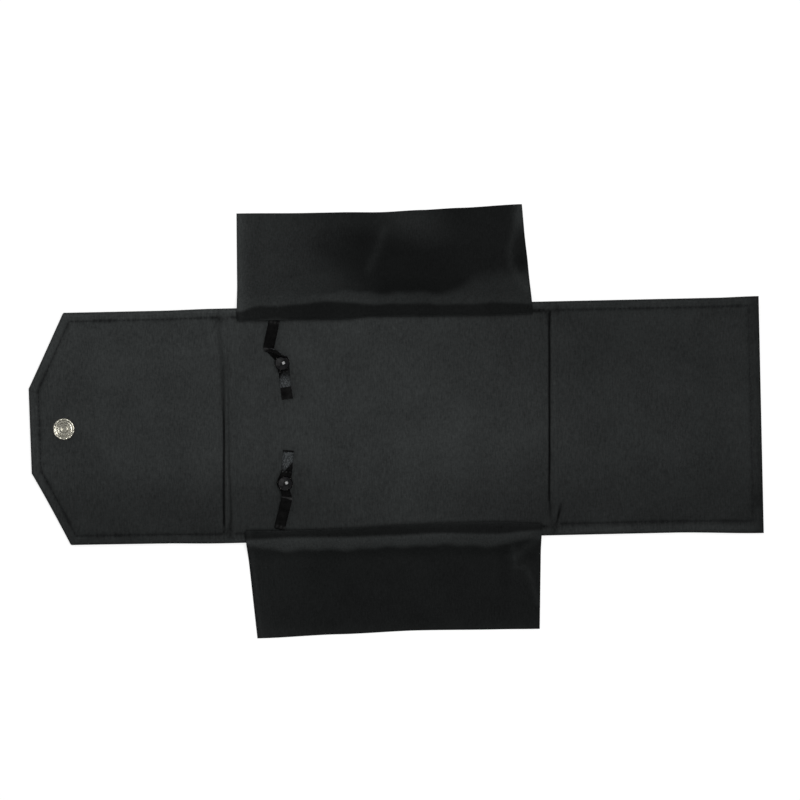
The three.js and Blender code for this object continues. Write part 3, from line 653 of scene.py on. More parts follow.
def stitch_relief(x, y, sizes):
    """Height and painted shade of the topstitching: a row of dips one pitch apart, ripples across the seam
    whose spacing drifts and whose height fades within a few millimetres, and painted shade along it in a
    soft uneven band, dark dashes and ticks. The front panel's end seams are drawn less tight."""
    relief, painted_shade = np.zeros(x.shape), np.zeros(x.shape)
    firm = 1 - 0.65 * smooth(x, FRONT_EDGE - 17, FRONT_EDGE - 8)
    soft = 1 + 0.15 * (1 - smooth(x, CLOSING_CREASE - 4, CLOSING_CREASE))
    for line in sum(seam_lines(sizes.seam_inset).values(), []):
        gap, run = near_line(x, y, line)
        dash = 0.5 + 0.5 * np.cos(TURN * run / sizes.stitch_pitch)
        drift = 1.9 * np.sin(TURN * run / 41) + 1.1 * np.sin(TURN * run / 17)
        ripple = np.sin(TURN * run / (1.3 * sizes.stitch_pitch) + drift)
        strength = 0.6 + 0.4 * np.sin(TURN * run / 63 + 1.0)
        reach = 1.6 + 1.8 * np.sin(TURN * run / 23) ** 2
        relief = relief - 0.3 * bump(gap, 0, 0.6) * (0.6 + 0.4 * dash)
        relief = relief + sizes.pucker * strength * ripple * np.exp(-gap / reach)
        tick = smooth(ripple, 0.2, 1.0) * np.exp(-gap / (0.8 * reach))
        # Painted shade of the seam's puckers and needle holes
        shade = (0.22 + 0.13 * np.sin(run / 2.3 + drift) + 0.1 * np.sin(run / 5.1)) * soft
        painted_shade = np.max([
            painted_shade, bump(gap, 0, 0.7) * (0.16 + 0.3 * dash) * firm,
            bump(gap, 0, 1.5) * (shade + 0.35 * strength * tick) * firm, 0.4 * strength * tick * firm,
        ], axis=0)
    return relief, painted_shade


def lining_height(x, y, sizes):
    """Height of the lining. The board lifts it between the seams and creases, a hem swells between
    seam and edge, stitches pull it down in a row, wrinkles of the stitches' own rhythm run off the
    seam and fade, the spines are scored by creases that wander, it lies in slow waves (a sum of sines)
    over the board, and it dips under the snap's well."""
    inset = free_inset(x, y)
    seam = sizes.seam_inset
    from_spine = np.min([
        np.where((x > left) & (x < right), 0, np.minimum(np.abs(x - left), np.abs(x - right)))
        for left, right in SPINES.values()], axis=0)
    board = smooth(inset, seam - 0.5, seam + 3.6)
    low = HEM_TOP + sizes.puff * smooth(inset, 0, 0.45 * seam)
    high = LINING_TOP - 0.45 * (1 - smooth(from_spine, -2, 4))
    height = low + (high - low) * board + stitch_relief(x, y, sizes)[0]
    for crease, across, strength in crease_lines(x, y):
        depth = sizes.crease * crease["depth"] * smooth(inset, 0, 1.6 * seam)
        height = height - depth * strength * bump(across, 0, 1)
    for *place, depth in DENTS:
        height = height - depth * spot(x, y, *place)
    for fold, rise, _ in pulled(x, y):
        height = height + rise * fold
    for size, turn, tall, phase in WAVES:
        along = x * math.cos(math.radians(turn)) + y * math.sin(math.radians(turn))
        height = height + board * tall * np.sin(TURN * along / size + phase)
    height = height - 0.9 * (1 - smooth(np.hypot(x - SNAP[0], y - SNAP[1]), 4.35, 4.8))
    return height - 0.8 * rounding(inset, sizes.edge_round)


def lining_tone(x, y, sizes):
    """Painted light and shade on the lining, as a factor on its colour: painted shade at the stitches and
    needle holes, in the creases, slack folds and pinched ends of the spines, painted highlights along the
    hem, a painted light gradient that turns darker toward the front panel and the lower side, and a soft
    painted shadow beside each flap's root."""
    inset = free_inset(x, y)
    # Painted shade of the stitches, their puckers and needle holes
    tone = 1 - stitch_relief(x, y, sizes)[1]
    # Painted shade in the creases and slack folds; a negative strength paints a highlight
    for crease, across, strength in crease_lines(x, y):
        tone = tone * (1 - crease["painted_shade"] * strength * bump(across, 0, 0.9))
    for fold, _, painted_shade in pulled(x, y):
        tone = tone * (1 - painted_shade * fold)
    # Patchy painted shade in the pinched ends of the spines
    patchy_shade = 0.65 + 0.35 * np.sin(x / 0.45) * np.sin(y / 0.6 + 1.3)
    for *place, painted_shade in PINCHES:
        tone = tone * (1 - painted_shade * patchy_shade * spot(x, y, *place))
    # Painted highlights along the hem's ridges, beside the spines and at the lower end of the right spine
    beside_spine = bump(np.abs(x + 112), 9, 6) + bump(np.abs(x - 100), 9, 6)
    painted_highlight = 0.28 * bump(inset, 1.8, 0.8) + 0.12 * bump(inset, 4.2, 0.8)
    painted_highlight = painted_highlight + 0.3 * beside_spine * bump(inset, 1.8, 1.0)
    painted_highlight = painted_highlight + 0.35 * smooth(x, RIGHT_CREASE, FRONT_CREASE + 8) * (y < -60) * bump(inset, 3.2, 2.6)
    # Painted light gradient: darker toward the front panel, its end and the lower side, darker at the upper right
    # of the centre and lighter at the upper left
    painted_light_gradient = 1.02 - 0.2 * smooth(x, 20, 130) - 0.08 * smooth(x, 110, 240)
    lower = 0.2 + 0.13 * (1 - smooth(x, 80, 120)) - 0.2 * bump(x, -8, 38)
    painted_light_gradient = painted_light_gradient - lower * smooth(-y, 12, 60) - 0.18 * smooth(x, FRONT_EDGE - 9, FRONT_EDGE - 4)
    painted_light_gradient = painted_light_gradient - 0.13 * smooth(y, 0, 50) * smooth(x, -20, 50) * (1 - 0.6 * smooth(x, 120, 200))
    painted_light_gradient = painted_light_gradient + 0.12 * smooth(y, 10, 60) * (1 - smooth(x, -130, -80))
    # Painted shadow on the lining beside each flap's root
    for flap in FLAPS.values():
        left, right = flap["ends"][0]
        along = smooth(x, left - 1, left + 1) * (1 - smooth(x, right - 1, right + 1))
        near = SEAM_Y + wander(flap["root"], x) - flap["side"] * y
        tone = tone * (1 - 0.6 * along * (1 - smooth(near, -1.0, 2.6)))
    return np.clip(tone * (1 + painted_highlight) * painted_light_gradient, 0.03, 1.6)


def cover_height(x, y, sizes):
    """Lowest face of the cover: flat, pulled up at the stitches and rounded up at the free edges."""
    lift = 0.5 * rounding(free_inset(x, y), 1.2 * sizes.edge_round)
    return COVER_BOTTOM + lift - 0.5 * np.minimum(stitch_relief(x, y, sizes)[0], 0)


def settle(x, y):
    """Where a point of the ruled outline lies on the sewn folder. The closing flap is a little shallower
    than the centre panel, its tip is longer and pulled askew, and the front panel's corners flare."""
    share = np.clip((CLOSING_CREASE - x) / (CLOSING_CREASE - TIP_X), 0, 1)
    across = y / HALF_DEPTH
    new_x = x - share * (0.15 + 0.0145 * y) - 1.55 * share ** 8
    new_x = new_x + 0.12 * smooth(x, FRONT_CREASE, FRONT_EDGE)
    end = smooth(x, FRONT_EDGE - np.where(y > 0, 28, 58), FRONT_EDGE)
    flare = np.where(y > 0, 0.5, 1.5) * end * np.abs(across) ** 5 * np.sign(y)
    shallow = np.where(y > 0, 0.54, 0.75 * share - 0.05) * across * smooth(share, 0.02, 0.3)
    sag = 0.5 * (y < 0) * np.abs(across) ** 3 * smooth(-x, 90, 97) * (1 - smooth(share, 0, 0.3))
    askew = 1.1 * share ** 8 * (1 - across ** 2)
    return new_x, y - shallow * (1 - 0.6 * share ** 8) - sag - askew + flare


# The row in four pieces: the nodes' first word, the body, the spine, the crease between them, the span
LEFT_MIDDLE = (CLOSING_CREASE + LEFT_CREASE) / 2
RIGHT_MIDDLE = (RIGHT_CREASE + FRONT_CREASE) / 2
CENTRE = (LEFT_CREASE + RIGHT_CREASE) / 2
PANELS = {
    "closing": ("closing", "closing_flap", "left_spine", CLOSING_CREASE, (TIP_X, LEFT_MIDDLE)),
    "centre_left": ("centre", "back_panel", "left_spine", LEFT_CREASE, (LEFT_MIDDLE, CENTRE)),
    "centre_right": ("centre", "back_panel", "right_spine", RIGHT_CREASE, (CENTRE, RIGHT_MIDDLE)),
    "front": ("front", "front_panel", "right_spine", FRONT_CREASE, (RIGHT_MIDDLE, FRONT_EDGE)),
}


def panel_grid(span, fine, coarse):
    """Grid of one panel piece: lines across it, close together near the creases and edges, and lines
    along it that squeeze together where the chamfers narrow the tip."""
    zones = [(left - 4, right + 4) for left, right in SPINES.values()]
    marks = sorted([*span, *(place for zone in zones for place in zone if span[0] < place < span[1])])
    runs = []
    for start, end in zip(marks, marks[1:]):
        in_crease = any(left < (start + end) / 2 < right for left, right in zones)
        runs.append((start, end, fine if in_crease else coarse))
    band = 1 - 10 / HALF_DEPTH
    share = steps((-1, -band, fine / HALF_DEPTH), (-band, band, coarse / HALF_DEPTH),
                  (band, 1, fine / HALF_DEPTH))
    x, share = np.meshgrid(steps(*runs), share, indexing="ij")
    return x, share * half_depth(x)


def lay_panels(layer, slot, fine, coarse, surfaces):
    """Lays one cloth on each piece of the row, between the surfaces that are worked out for its grid. It
    reaches from its panel over the board's edge to the spine's middle."""
    for name, (own, body, spine, crease, span) in PANELS.items():
        x, y = panel_grid(span, fine, coarse)
        top, low, tone = surfaces(x, y)
        new_x, new_y = settle(x, y)
        piece = sheet_piece(f"{name}_{layer}_cloth", np.stack([new_x, new_y, top], -1),
                            np.stack([new_x, new_y, low], -1), slot, tone)
        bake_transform(piece)
        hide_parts(f"{own}_{layer}", f"{spine}_{layer}")


class FOLDER_OT_lining(bpy.types.Operator):
    """Lay the satin lining over the boards and spines"""

    bl_idname = "folder.lining"
    bl_label = "Lining"

    def execute(self, context):
        sizes = sizes_now()

        def surfaces(x, y):
            top = lining_height(x, y, sizes)
            return top, top - sizes.cloth, lining_tone(x, y, sizes)

        lay_panels("lining", "lining_satin", 0.42, 0.85, surfaces)
        return {"FINISHED"}


class FOLDER_OT_cover(bpy.types.Operator):
    """Wrap the woven cover under the boards and spines"""

    bl_idname = "folder.cover"
    bl_label = "Cover"

    def execute(self, context):
        sizes = sizes_now()

        def surfaces(x, y):
            low = cover_height(x, y, sizes)
            return low + sizes.cloth, low, 1.0

        lay_panels("cover", "cover_cloth", 0.79, 1.6, surfaces)
        return {"FINISHED"}


def stitch_piece(name, line, body, height, sizes):
    """Row of stitches along a line: each is a slim capsule, whose ends dip into the cloth."""
    places = []
    for (x0, y0), (x1, y1) in zip(line, line[1:]):
        count = max(1, round(math.hypot(x1 - x0, y1 - y0) / sizes.stitch_pitch))
        share = (np.arange(count) + 0.5) / count
        angle = np.full(count, math.atan2(y1 - y0, x1 - x0))
        places.append(np.stack([x0 + (x1 - x0) * share, y0 + (y1 - y0) * share, angle], -1))
    middle_x, middle_y, angle = np.concatenate(places).T[..., None]
    rings, sides, sink = 7, 6, 0.35
    share = np.linspace(-1, 1, rings)
    girth = sizes.thread * (np.sqrt(np.clip(1 - share ** 4, 0, 1)) * 0.96 + 0.04)[:, None]
    turns = np.arange(sides) / sides * TURN
    along = np.repeat(share * sizes.stitch_length / 2, sides)
    across = (girth * np.cos(turns)).ravel()
    up = (girth * np.sin(turns)).ravel() + np.repeat(-sink * share ** 4, sides)
    x = middle_x + along * np.cos(angle) - across * np.sin(angle)
    y = middle_y + along * np.sin(angle) + across * np.cos(angle)
    z = height(middle_x, middle_y) + sizes.thread * 0.3 + up
    points = np.stack([*settle(x, y), z], -1).reshape(-1, 3)
    index = np.arange(rings * sides).reshape(rings, sides)
    ahead = np.roll(index, -1, 1)
    one = np.concatenate([
        quads(index[:-1], ahead[:-1], ahead[1:], index[1:]), [[0, 5, 4, 3], [0, 3, 2, 1]],
        (rings - 1) * sides + np.array([[0, 1, 2, 3], [0, 3, 4, 5]])])
    offsets = np.arange(len(middle_x)) * rings * sides
    faces = (one[None] + offsets[:, None, None]).reshape(-1, 4)
    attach(new_piece(name, points, faces.tolist(), ["thread"], sharp=180), body)


class FOLDER_OT_stitching(bpy.types.Operator):
    """Sew the topstitching of the panels, seen on the lining and on the cover"""

    bl_idname = "folder.stitching"
    bl_label = "Topstitching"

    def execute(self, context):
        sizes = sizes_now()

        def inside(x, y):
            return lining_height(x, y, sizes)

        def outside(x, y):
            return cover_height(x, y, sizes) - sizes.thread

        for body, lines in seam_lines(sizes.seam_inset).items():
            for number, line in enumerate(lines, 1):
                stitch_piece(f"{body}_stitches_{number}", line, body, inside, sizes)
                stitch_piece(f"{body}_stitches_{number}_outside", line, body, outside, sizes)
        return {"FINISHED"}


# Side flaps


def upper_flap_tone(x, run, rolled):
    """Painted light and shade on the upper flap, from 1 for satin that lies flat: painted sheen over the
    left third and behind the roll, a painted highlight at the free edge's middle, a dark painted pool
    between them with small patches of painted shade, and painted highlight streaks along the pool's left
    and inside the right edge. Smooth steps and bells in x and the distance out."""
    shift = 15 * (1 - smooth(run, 18, 34))
    tone = 1.4 + 4.3 * smooth(shift - x, 18, 84) ** 0.8
    band_end = 13 + 12 * smooth(x, 32, 66) + 2.5 * (1 - smooth(x, -30, 0))
    band_end = band_end + 0.7 * np.sin(x / 6.5) + 0.5 * np.sin(x / 2.7 + 1)
    fade = 2.6 + 4.5 * smooth(x, 25, 60)
    band = (5.0 - 1.9 * smooth(x, -60, 45)) * (1 - smooth(run, band_end - fade, band_end + fade))
    tone = np.maximum(tone, 1.3 + band)
    tone = tone + 3.1 * bump(x, 12 + 0.7 * (61 - run), 21) * smooth(run, 38, 62)
    tone = tone + 1.0 * bump(x, -28, 20) * smooth(run, 48, 62) + 0.4 * smooth(x, 35, 60)
    tone = tone - 0.8 * bump(x, -44, 10) * bump(run, 43 - 0.35 * (x + 44), 6)
    tone = tone - 0.8 * spot(x, run, -70, 26, 9, 3.5) - 0.9 * spot(x, run, 82.5, 31, 3.2, 8)
    streak, _ = near_line(x, run, [(-5.7, 54.5), (-10, 42), (-15.7, 29)])
    edge, _ = near_line(x, run, [(82, 67), (78.5, 52), (74.5, 40), (75.5, 31), (80, 21), (85, 14)])
    tone = tone + 1.1 * bump(streak, 0, 3.2) + 1.4 * bump(edge, 0, 2.6)
    tone = tone + 5.0 * bump(x, 84, 5.5) * smooth(run, 46, 64) + 3.2 * bump(x, -100, 6)
    # On the roll itself the painted light is plainer, and lighter toward the left end
    end = rolled + 0.4 * np.sin(x / 9) + 0.25 * np.sin(x / 3.3 + 2)
    inside = smooth(run, end - 1.2, end + 1.5)
    return (1.5 + 0.7 * (1 - smooth(x, -100, -45))) * (1 - inside) + tone * inside


def lower_flap_tone(x, run, rolled):
    """Painted light and shade on the lower flap: plain where it lies flat, with a painted highlight in a
    band behind the roll, whose far edge is ragged, painted highlights along the folds beside the right
    edge and two patches of painted shade there."""
    tone = 2.1 + 1.0 * (1 - smooth(x, -96, -50)) + 0.5 * smooth(run, 58, 66)
    band_end = 11.8 - 1.5 * bump(x, 18, 30) - 3.4 * (1 - smooth(x, -97, -72)) - 3.6 * smooth(x, 62, 80)
    band_end = band_end + 0.4 * np.sin(x / 7) + 0.5 * np.sin(x / 2.9 + 1)
    band = (5.2 - 1.0 * smooth(x, -10, 60)) * (1 - smooth(run, band_end - 2.2, band_end + 2.2))
    tone = tone + band * (1 - 0.5 * smooth(x, 80, 89))
    fold, _ = near_line(x, run, [(73, 14), (74, 26), (81, 27), (84.5, 36), (88, 50)])
    ray, _ = near_line(x, run, [(74, 20), (84, 12), (91, 6)])
    tone = tone + 1.2 * bump(fold, 0, 2.2) + 1.0 * bump(ray, 0, 2.8)
    tone = tone - 0.5 * spot(x, run, 67, 30, 4, 16) - 0.8 * spot(x, run, 84, 19, 5, 3)
    inside = smooth(run, rolled - 1.2, rolled + 1.6)
    return (1.5 + 0.25 * (1 - smooth(x, -90, -60))) * (1 - inside) + tone * inside


# The two flaps: their ends along X at the seam and at the free edge, how much wider the right end is
# near the seam, how far they reach from the seam and how the free edge wanders. Knots along X say where
# the roll bulges over the lining and where it ends. Then come how long the fall is, ridges as (line,
# half width, height) and hollows as (x, run, half x, half run, height).
FLAPS = {
    "upper": {
        "side": 1, "ends": ((-100.9, 88.0), (-100.1, 83.3)), "wider": 0.5, "reach": 67.4, "fall": 19,
        "edge": [(-100, -0.45), (-55, -1.15), (-33, -1.15), (-8, -1.6), (18, -0.75), (43, 0.05),
                 (83, 1.5)],
        "root": [(-101, -2.3), (-62, -2.4), (-33, -2.8), (-16, -1.4), (31, -1.9), (63, -2.3),
                 (88, -1.6)],
        "roll": [(-101, 3.0), (-87, 6.4), (-62, 7.4), (-48, 8.4), (-33, 8.1), (-16, 6.6), (31, 5.5),
                 (63, 5.5), (88, 4.2)],
        "ridges": [(((-5.7, 54.5), (-10, 42), (-15.7, 29)), 3.4, 0.25),
                   (((81, 66), (77, 52), (75, 41), (76, 31), (86, 19)), 3.0, 0.7)],
        "hollows": [(-76, 40, 30, 34, 0.6), (24, 33, 32, 15, -0.5), (81.5, 31, 3, 8, -0.4)],
        # The function that paints the flap's light and shade into its colour
        "tone": upper_flap_tone,
    },
    "lower": {
        "side": -1, "ends": ((-98.7, 91.2), (-92.6, 88.8)), "wider": 0, "reach": 66.6, "fall": 16,
        "edge": [(-92, 1.6), (-40, 0.05), (12, -1.25), (63, -0.85), (88, -0.6)],
        "root": [(-99, -1.2), (-49, -1.0), (-30, -1.6), (-1, -2.9), (30, -3.6), (62, -3.5), (91, -1.8)],
        "roll": [(-99, 4.2), (-65, 3.3), (-33, 3.9), (-1, 3.4), (23, 2.6), (62, 3.8), (91, 1.9)],
        "ridges": [(((73, 14), (74, 26), (81, 27), (84.5, 36), (88, 50)), 2.2, 0.6),
                   (((74, 20), (84, 12), (91, 6)), 2.6, 0.5)],
        "hollows": [(67, 27, 4, 12, -0.5), (84, 19, 5, 3, -0.4), (-20, 40, 60, 20, 0.3)],
        # The function that paints the flap's light and shade into its colour
        "tone": lower_flap_tone,
    },
}


def flap_height(x, run, flap):
    """Height of a flap's middle at x and at a distance from the seam. It bulges up round its root, lies
    over in a roll, falls to the table and lies there with ridges, hollows and a slow wave."""
    seam, crest, flat = HEM_TOP + 0.4, LINING_TOP + 1.7, 0.55
    free = smooth(run - wander(flap["roll"], x), 0, flap["fall"])
    bulge = 1 - np.clip((run - wander(flap["root"], x)) / 2.6, 0, 1)
    slow = np.sin(TURN * x / 118 + 1.1) * np.sin(TURN * run / 92)
    lying = 0.25 + 0.25 * slow - (crest - flat)
    for line, width, rise in flap["ridges"]:
        lying = lying + rise * bump(near_line(x, run, line)[0], 0, width)
    for *place, rise in flap["hollows"]:
        middle, out, half_x, half_run = place
        lying = lying + rise * spot(x, run, middle, out, half_x, half_run)
    return seam + (crest - seam) * np.sqrt(1 - bulge ** 2) + lying * free


def make_flap(name, flap, sizes):
    """One side flap: a grid of shares along the seam and distances out, lifted off what lies below it.
    It bends round its seam, and was cut longer than it reaches, for the roll."""
    side, reach = flap["side"], flap["reach"]
    share, run = np.meshgrid(
        steps((0, 0.04, 0.003), (0.04, 0.96, 0.005), (0.96, 1, 0.003)),
        steps((0, 14, 0.4), (14, reach, 0.9)), indexing="ij")
    out = np.clip(run / reach, 0, 1)
    (left_in, right_in), (left_out, right_out) = flap["ends"]
    left = left_in + (left_out - left_in) * out
    right = right_in + (right_out - right_in) * out + flap["wider"] * (1 - smooth(run, 30, 50))
    x = left + (right - left) * share
    edge, root = wander(flap["edge"], x), wander(flap["root"], x)
    run = run + edge * smooth(out, 0.3, 1) + root * (1 - smooth(out, 0, 0.2))
    sides = np.minimum(x - left, right - x)
    # Painted light and shade, with a painted highlight along the root that lightens its shade, a painted highlight
    # near the left edge and painted shade along both sides; it is then pressed toward 1
    tone = flap["tone"](x, run, wander(flap["roll"], x)) + 1.6 * bump(run, root, 1.5)
    tone = tone + 0.9 * bump(x - left, 2.8, 1.6) - 0.4 * bump(sides, 0, 0.8)
    tone = np.clip(1 + 0.63 * (tone - 1), 0.2, 8)
    half = sizes.flap_cloth / 2 * (0.45 + 0.55 * smooth(np.minimum(sides, reach - run + edge), 0, 1.2))
    y = side * (SEAM_Y + run)
    below = lining_height(x, np.clip(y, -HALF_DEPTH, HALF_DEPTH), sizes) + 1.6 * bump(x, -76.7, 6)
    over = 1 - smooth(np.abs(y), HALF_DEPTH - 0.4, HALF_DEPTH + 0.8)
    z = np.maximum(flap_height(x, run, flap), half + 0.1 + below * over)
    piece = sheet_piece(name + "_flap_cloth", np.stack([x, y, z + half], -1),
                        np.stack([x, y, z - half], -1), "flap_satin", tone)
    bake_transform(piece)
    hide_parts(name + "_flap_face", name + "_flap_backing")


class FOLDER_OT_side_flaps(bpy.types.Operator):
    """Drape the two soft side flaps from their seams over the roll to the table"""

    bl_idname = "folder.side_flaps"
    bl_label = "Side flaps"

    def execute(self, context):
        for name, flap in FLAPS.items():
            make_flap(name, flap, sizes_now())
        return {"FINISHED"}


# Straps. Places are (x, y), and reaches are distances from the seam. The band has its leg's seam, its
# fold, the bend of its arch, its roll in degrees, its crest, how far it runs past the cap, the skew of
# its fold, its slack, the painted highlight on the fold as (place, width, strength) and how much it is
# pinched there. The tab has its hem and the place and side of its turned patch, painted dark as its
# velvet side.
STRAPS = {
    "upper": {"side": 1, "seam_x": 26.7, "cap_x": 32.5, "cap_reach": 28.2, "tail_x": 35.2,
              "tail_reach": 51.2, "sway": -6.6, "leg": (-76.7, 67.0), "fold": (-81.2, 47.7),
              "over": (-70.5, 46.5), "roll": 60, "crest": 7.4, "hem": 7.6, "dark_side": -1,
              "past": 5.8, "skew": -0.1, "slack": 0, "fold_light": (-0.8, 0.35, 4.5), "turned": 0.2,
              "pinch": 0.6},
    "lower": {"side": -1, "seam_x": 27.6, "cap_x": 32.8, "cap_reach": 29.4, "tail_x": 35.1,
              "tail_reach": 50.5, "sway": 2.2, "leg": (-76.7, -66.5), "fold": (-71.05, -46.9),
              "over": (-71.3, -42.5), "roll": 20, "crest": 8.8, "hem": 1.0, "dark_side": 1,
              "past": 7.7, "skew": -0.12, "slack": -2.0, "fold_light": (0.2, 0.5, 8.0), "turned": -0.8,
              "pinch": 0},
}
# Where a strap sways between seam and cap, how far down its tail it turns, where its bend at the seam
# starts and ends along Y, and the shares of its width that its points lie at
SWAYS = ((0.36, 0.55), (0.62, 1.0))
TAIL_TURN = 0.45
RIBBON_SHARE = np.linspace(-1, 1, 17)


def strap_course(strap):
    """Plan of a strap: a curve that passes through its seam, two bends, its cap, a turn and its tail,
    each span a uniform Catmull-Rom cubic. Returns its points, the way along it and the cap's way."""
    seam = np.array([strap["seam_x"], 0])
    cap, tail = (np.array([strap[end + "_x"], strap[end + "_reach"]]) for end in ("cap", "tail"))
    bends = [seam + (cap - seam) * share + (strap["sway"] * size, 0) for share, size in SWAYS]
    controls = np.array([seam - (0, 1), *bends, cap, cap + (tail - cap) * TAIL_TURN, tail])
    padded = np.concatenate([controls[:1], controls, controls[-1:]])
    t = np.linspace(0, 1, 200, endpoint=False)[:, None]
    spans = []
    for p0, p1, p2, p3 in zip(padded, padded[1:], padded[2:], padded[3:]):
        v1, v2 = (p2 - p0) / 2, (p3 - p1) / 2
        spans.append((2 * p1 - 2 * p2 + v1 + v2) * t ** 3 + (-3 * p1 + 3 * p2 - 2 * v1 - v2) * t ** 2
                     + v1 * t + p1)
    path = np.concatenate([*spans, controls[-1:]])
    run = length_along(path)
    return path, run, run[3 * len(t)]


def ribbon_piece(name, centre, across, width, thick, slots, tone, second_from=None):
    """A ribbon along a line of points: at each it spans its width along the across vector, and its
    edges curl up a little. Its map has the distances across and along it."""
    run = length_along(centre)
    face = np.cross(np.gradient(centre, run, axis=0), across)
    face *= np.sign(face[:, 2:]) / np.linalg.norm(face, axis=1, keepdims=True)
    curl = 0.12 * np.abs(RIBBON_SHARE) ** 3 * np.sin(run / 4)[:, None]
    low = (centre[:, None] + across[:, None] * (RIBBON_SHARE * np.reshape(width, (-1, 1)) / 2)[..., None]
           + face[:, None] * curl[..., None])
    top = low + face[:, None] * np.reshape(thick, (-1, 1, 1))
    flat = np.stack(np.broadcast_arrays(RIBBON_SHARE * np.mean(width) / 2, run[:, None]), -1)
    rows = len(centre) - 1 if second_from is None else second_from
    # The underside's colour is scaled by a fifth, as painted shade
    return sheet_piece(name, top, low, slots[0], tone, flat, 0.2, slots[1], rows)


def blend_from_seam(piece):
    """Bakes a strap layer's place into its points."""
    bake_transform(piece)


def make_tab(name, strap, sizes):
    """The layer that lies on the lining: satin side up, velvet below and on its turned hem. It is
    narrower where the band hides it. Its satin has painted shade under the band and the cap and toward
    both edges, and its tail has a patch painted dark as its velvet side, where it would twist over; its
    velvet hem is lighter."""
    path, run, cap = strap_course(strap)
    side, hinge = strap["side"], HINGE[name + "_strap_lift"]
    rest = LINING_TOP + 0.3
    snap = box(name + "_strap_rivet")[0].z + 0.4
    line = steps((1, run[-1], 0.3))
    x, out = (np.interp(line, run, path[:, i]) for i in (0, 1))
    height = rest + (snap - rest) * (1 - smooth(np.abs(line - cap), 5.3, 8.3))
    centre = np.stack([LEFT_CREASE + x, side * (hinge.y * side - out), height], -1)
    way = np.gradient(centre, line, axis=0)
    across = np.stack([-way[:, 1], way[:, 0], 0 * line], -1) * side
    across /= np.linalg.norm(across, axis=1, keepdims=True)
    hem = run[-1] - strap["hem"]
    thick = sizes.ribbon * (1 + smooth(line, hem, hem + 0.3))
    width = sizes.ribbon_width * (0.7 + 0.3 * smooth(line, cap - 4, cap))
    # A patch painted dark as the velvet side, painted shade under the band and the cap and toward both edges, and
    # a lighter velvet hem
    past = (line - cap)[:, None]
    edge = strap["turned"] + (past - 6) * 0.19
    turned = smooth(RIBBON_SHARE * strap["dark_side"], edge, edge + 0.25)
    tone = 1 - 0.93 * turned * (1 - smooth(past, 12.5, 14))
    tone = tone * (0.25 + 0.75 * smooth(past, 6.5, 12.5)) * (1 - 0.5 * RIBBON_SHARE ** 2)
    tone = np.where(line[:, None] > hem, 1.5, tone)
    hem_row = int((len(line) - 1) * (hem - line[0]) / (run[-1] - line[0]))
    piece = ribbon_piece(name + "_tab_ribbon", centre, across, width, thick,
                         ("ribbon_back", "velvet_ribbon"), tone, hem_row)
    blend_from_seam(piece)
    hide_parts(name + "_strap_tab")


def make_band(name, strap, sizes):
    """The layer that snaps down on the tab. A straight leg rises from the seam to a sharp fold. From
    there the ribbon is gathered and rolled on its edge over a gap, and lies flat again under the cap."""
    side, hinge = strap["side"], HINGE[name + "_band_open"]
    cap = middle_of(name + "_pearl_cap")
    snap = box(name + "_pearl_bezel")[0].z - 0.55
    seam = np.array([strap["leg"][0], hinge.y])
    fold, over = np.array(strap["fold"]), np.array(strap["over"])
    leg = np.linalg.norm(fold - seam)
    way_in = (fold - seam) / leg
    way_out = np.array([strap["tail_x"] - strap["cap_x"],
                        side * (strap["cap_reach"] - strap["tail_reach"])])
    way_out /= np.linalg.norm(way_out)
    track = np.concatenate([[seam], curve(fold, over, cap, count=40), [cap + way_out * strap["past"]]])
    far = length_along(track)
    at_cap = far[-2]
    line = steps((0.4, leg - 1, 0.3), (leg - 1, far[-1], 0.2))
    plan = np.stack([np.interp(line, far, track[:, i]) for i in (0, 1)], -1)
    roll = math.radians(strap["roll"]) * smooth(line, leg, leg + 1.6) * (
        1 - smooth(line, at_cap - 5.5, at_cap - 2.8))
    aim = (over - fold) / np.linalg.norm(over - fold)
    first = smooth(line, leg - 0.6, leg + 0.6)[:, None]
    second = smooth(line, leg + 1.0, at_cap - 1)[:, None]
    way = way_in * (1 - first) + (aim * (1 - second) + way_out * second) * first
    level = np.stack([way[:, 1], -way[:, 0]], -1) * -side
    level /= np.linalg.norm(level, axis=1, keepdims=True)
    across = np.concatenate([level * np.cos(roll)[:, None], np.sin(roll)[:, None]], 1)
    flat, crest = LINING_TOP + 1.1, strap["crest"]
    gathered = sizes.ribbon_width * (1 - 0.45 * np.sin(roll) ** 2)
    height = flat + (crest - flat) * smooth(line, 0.35 * leg, leg - 0.4)
    height = height + (snap - crest) * smooth(line, leg + 0.4, at_cap - 4.4)
    height = height + 0.375 * gathered * np.sin(roll)
    centre = np.concatenate([plan, height[:, None]], 1)
    centre[:, 0] += strap["slack"] * bump(line, at_cap, 4.5)
    at = line[:, None]
    # Painted light: a painted highlight along the fold, painted glints near the seam and along the cut end, and
    # painted shade toward both edges
    place, wide, painted_highlight = strap["fold_light"]
    lean = strap["skew"] * RIBBON_SHARE * sizes.ribbon_width / 2
    glint = smooth(np.sin(8.5 * RIBBON_SHARE + 1.2), 0.55, 0.9)
    tone = 1 + painted_highlight * bump(at, leg + place + lean, wide)
    tone = tone + 3.5 * bump(at, 1.9, 0.9) * (0.6 + 0.4 * np.sin(9 * RIBBON_SHARE))
    tone = tone + 9 * bump(at, line[-1], 0.5) * glint
    tone = tone * (1 - 0.25 * np.abs(RIBBON_SHARE) ** 4)
    end = np.clip((line - line[-1]) / 1.2 + 1, 0, 1)
    width = gathered * (1 - 0.18 * end ** 3) * (1 - strap["pinch"] * bump(line, leg + 0.4, 0.7))
    piece = ribbon_piece(name + "_band_ribbon", centre, across, width, sizes.ribbon,
                         ("velvet_ribbon", "ribbon_back"), tone)
    blend_from_seam(piece)
    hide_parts(name + "_strap_band")


PLATE = 0.3  # Thickness of the plate that a pearl sits on


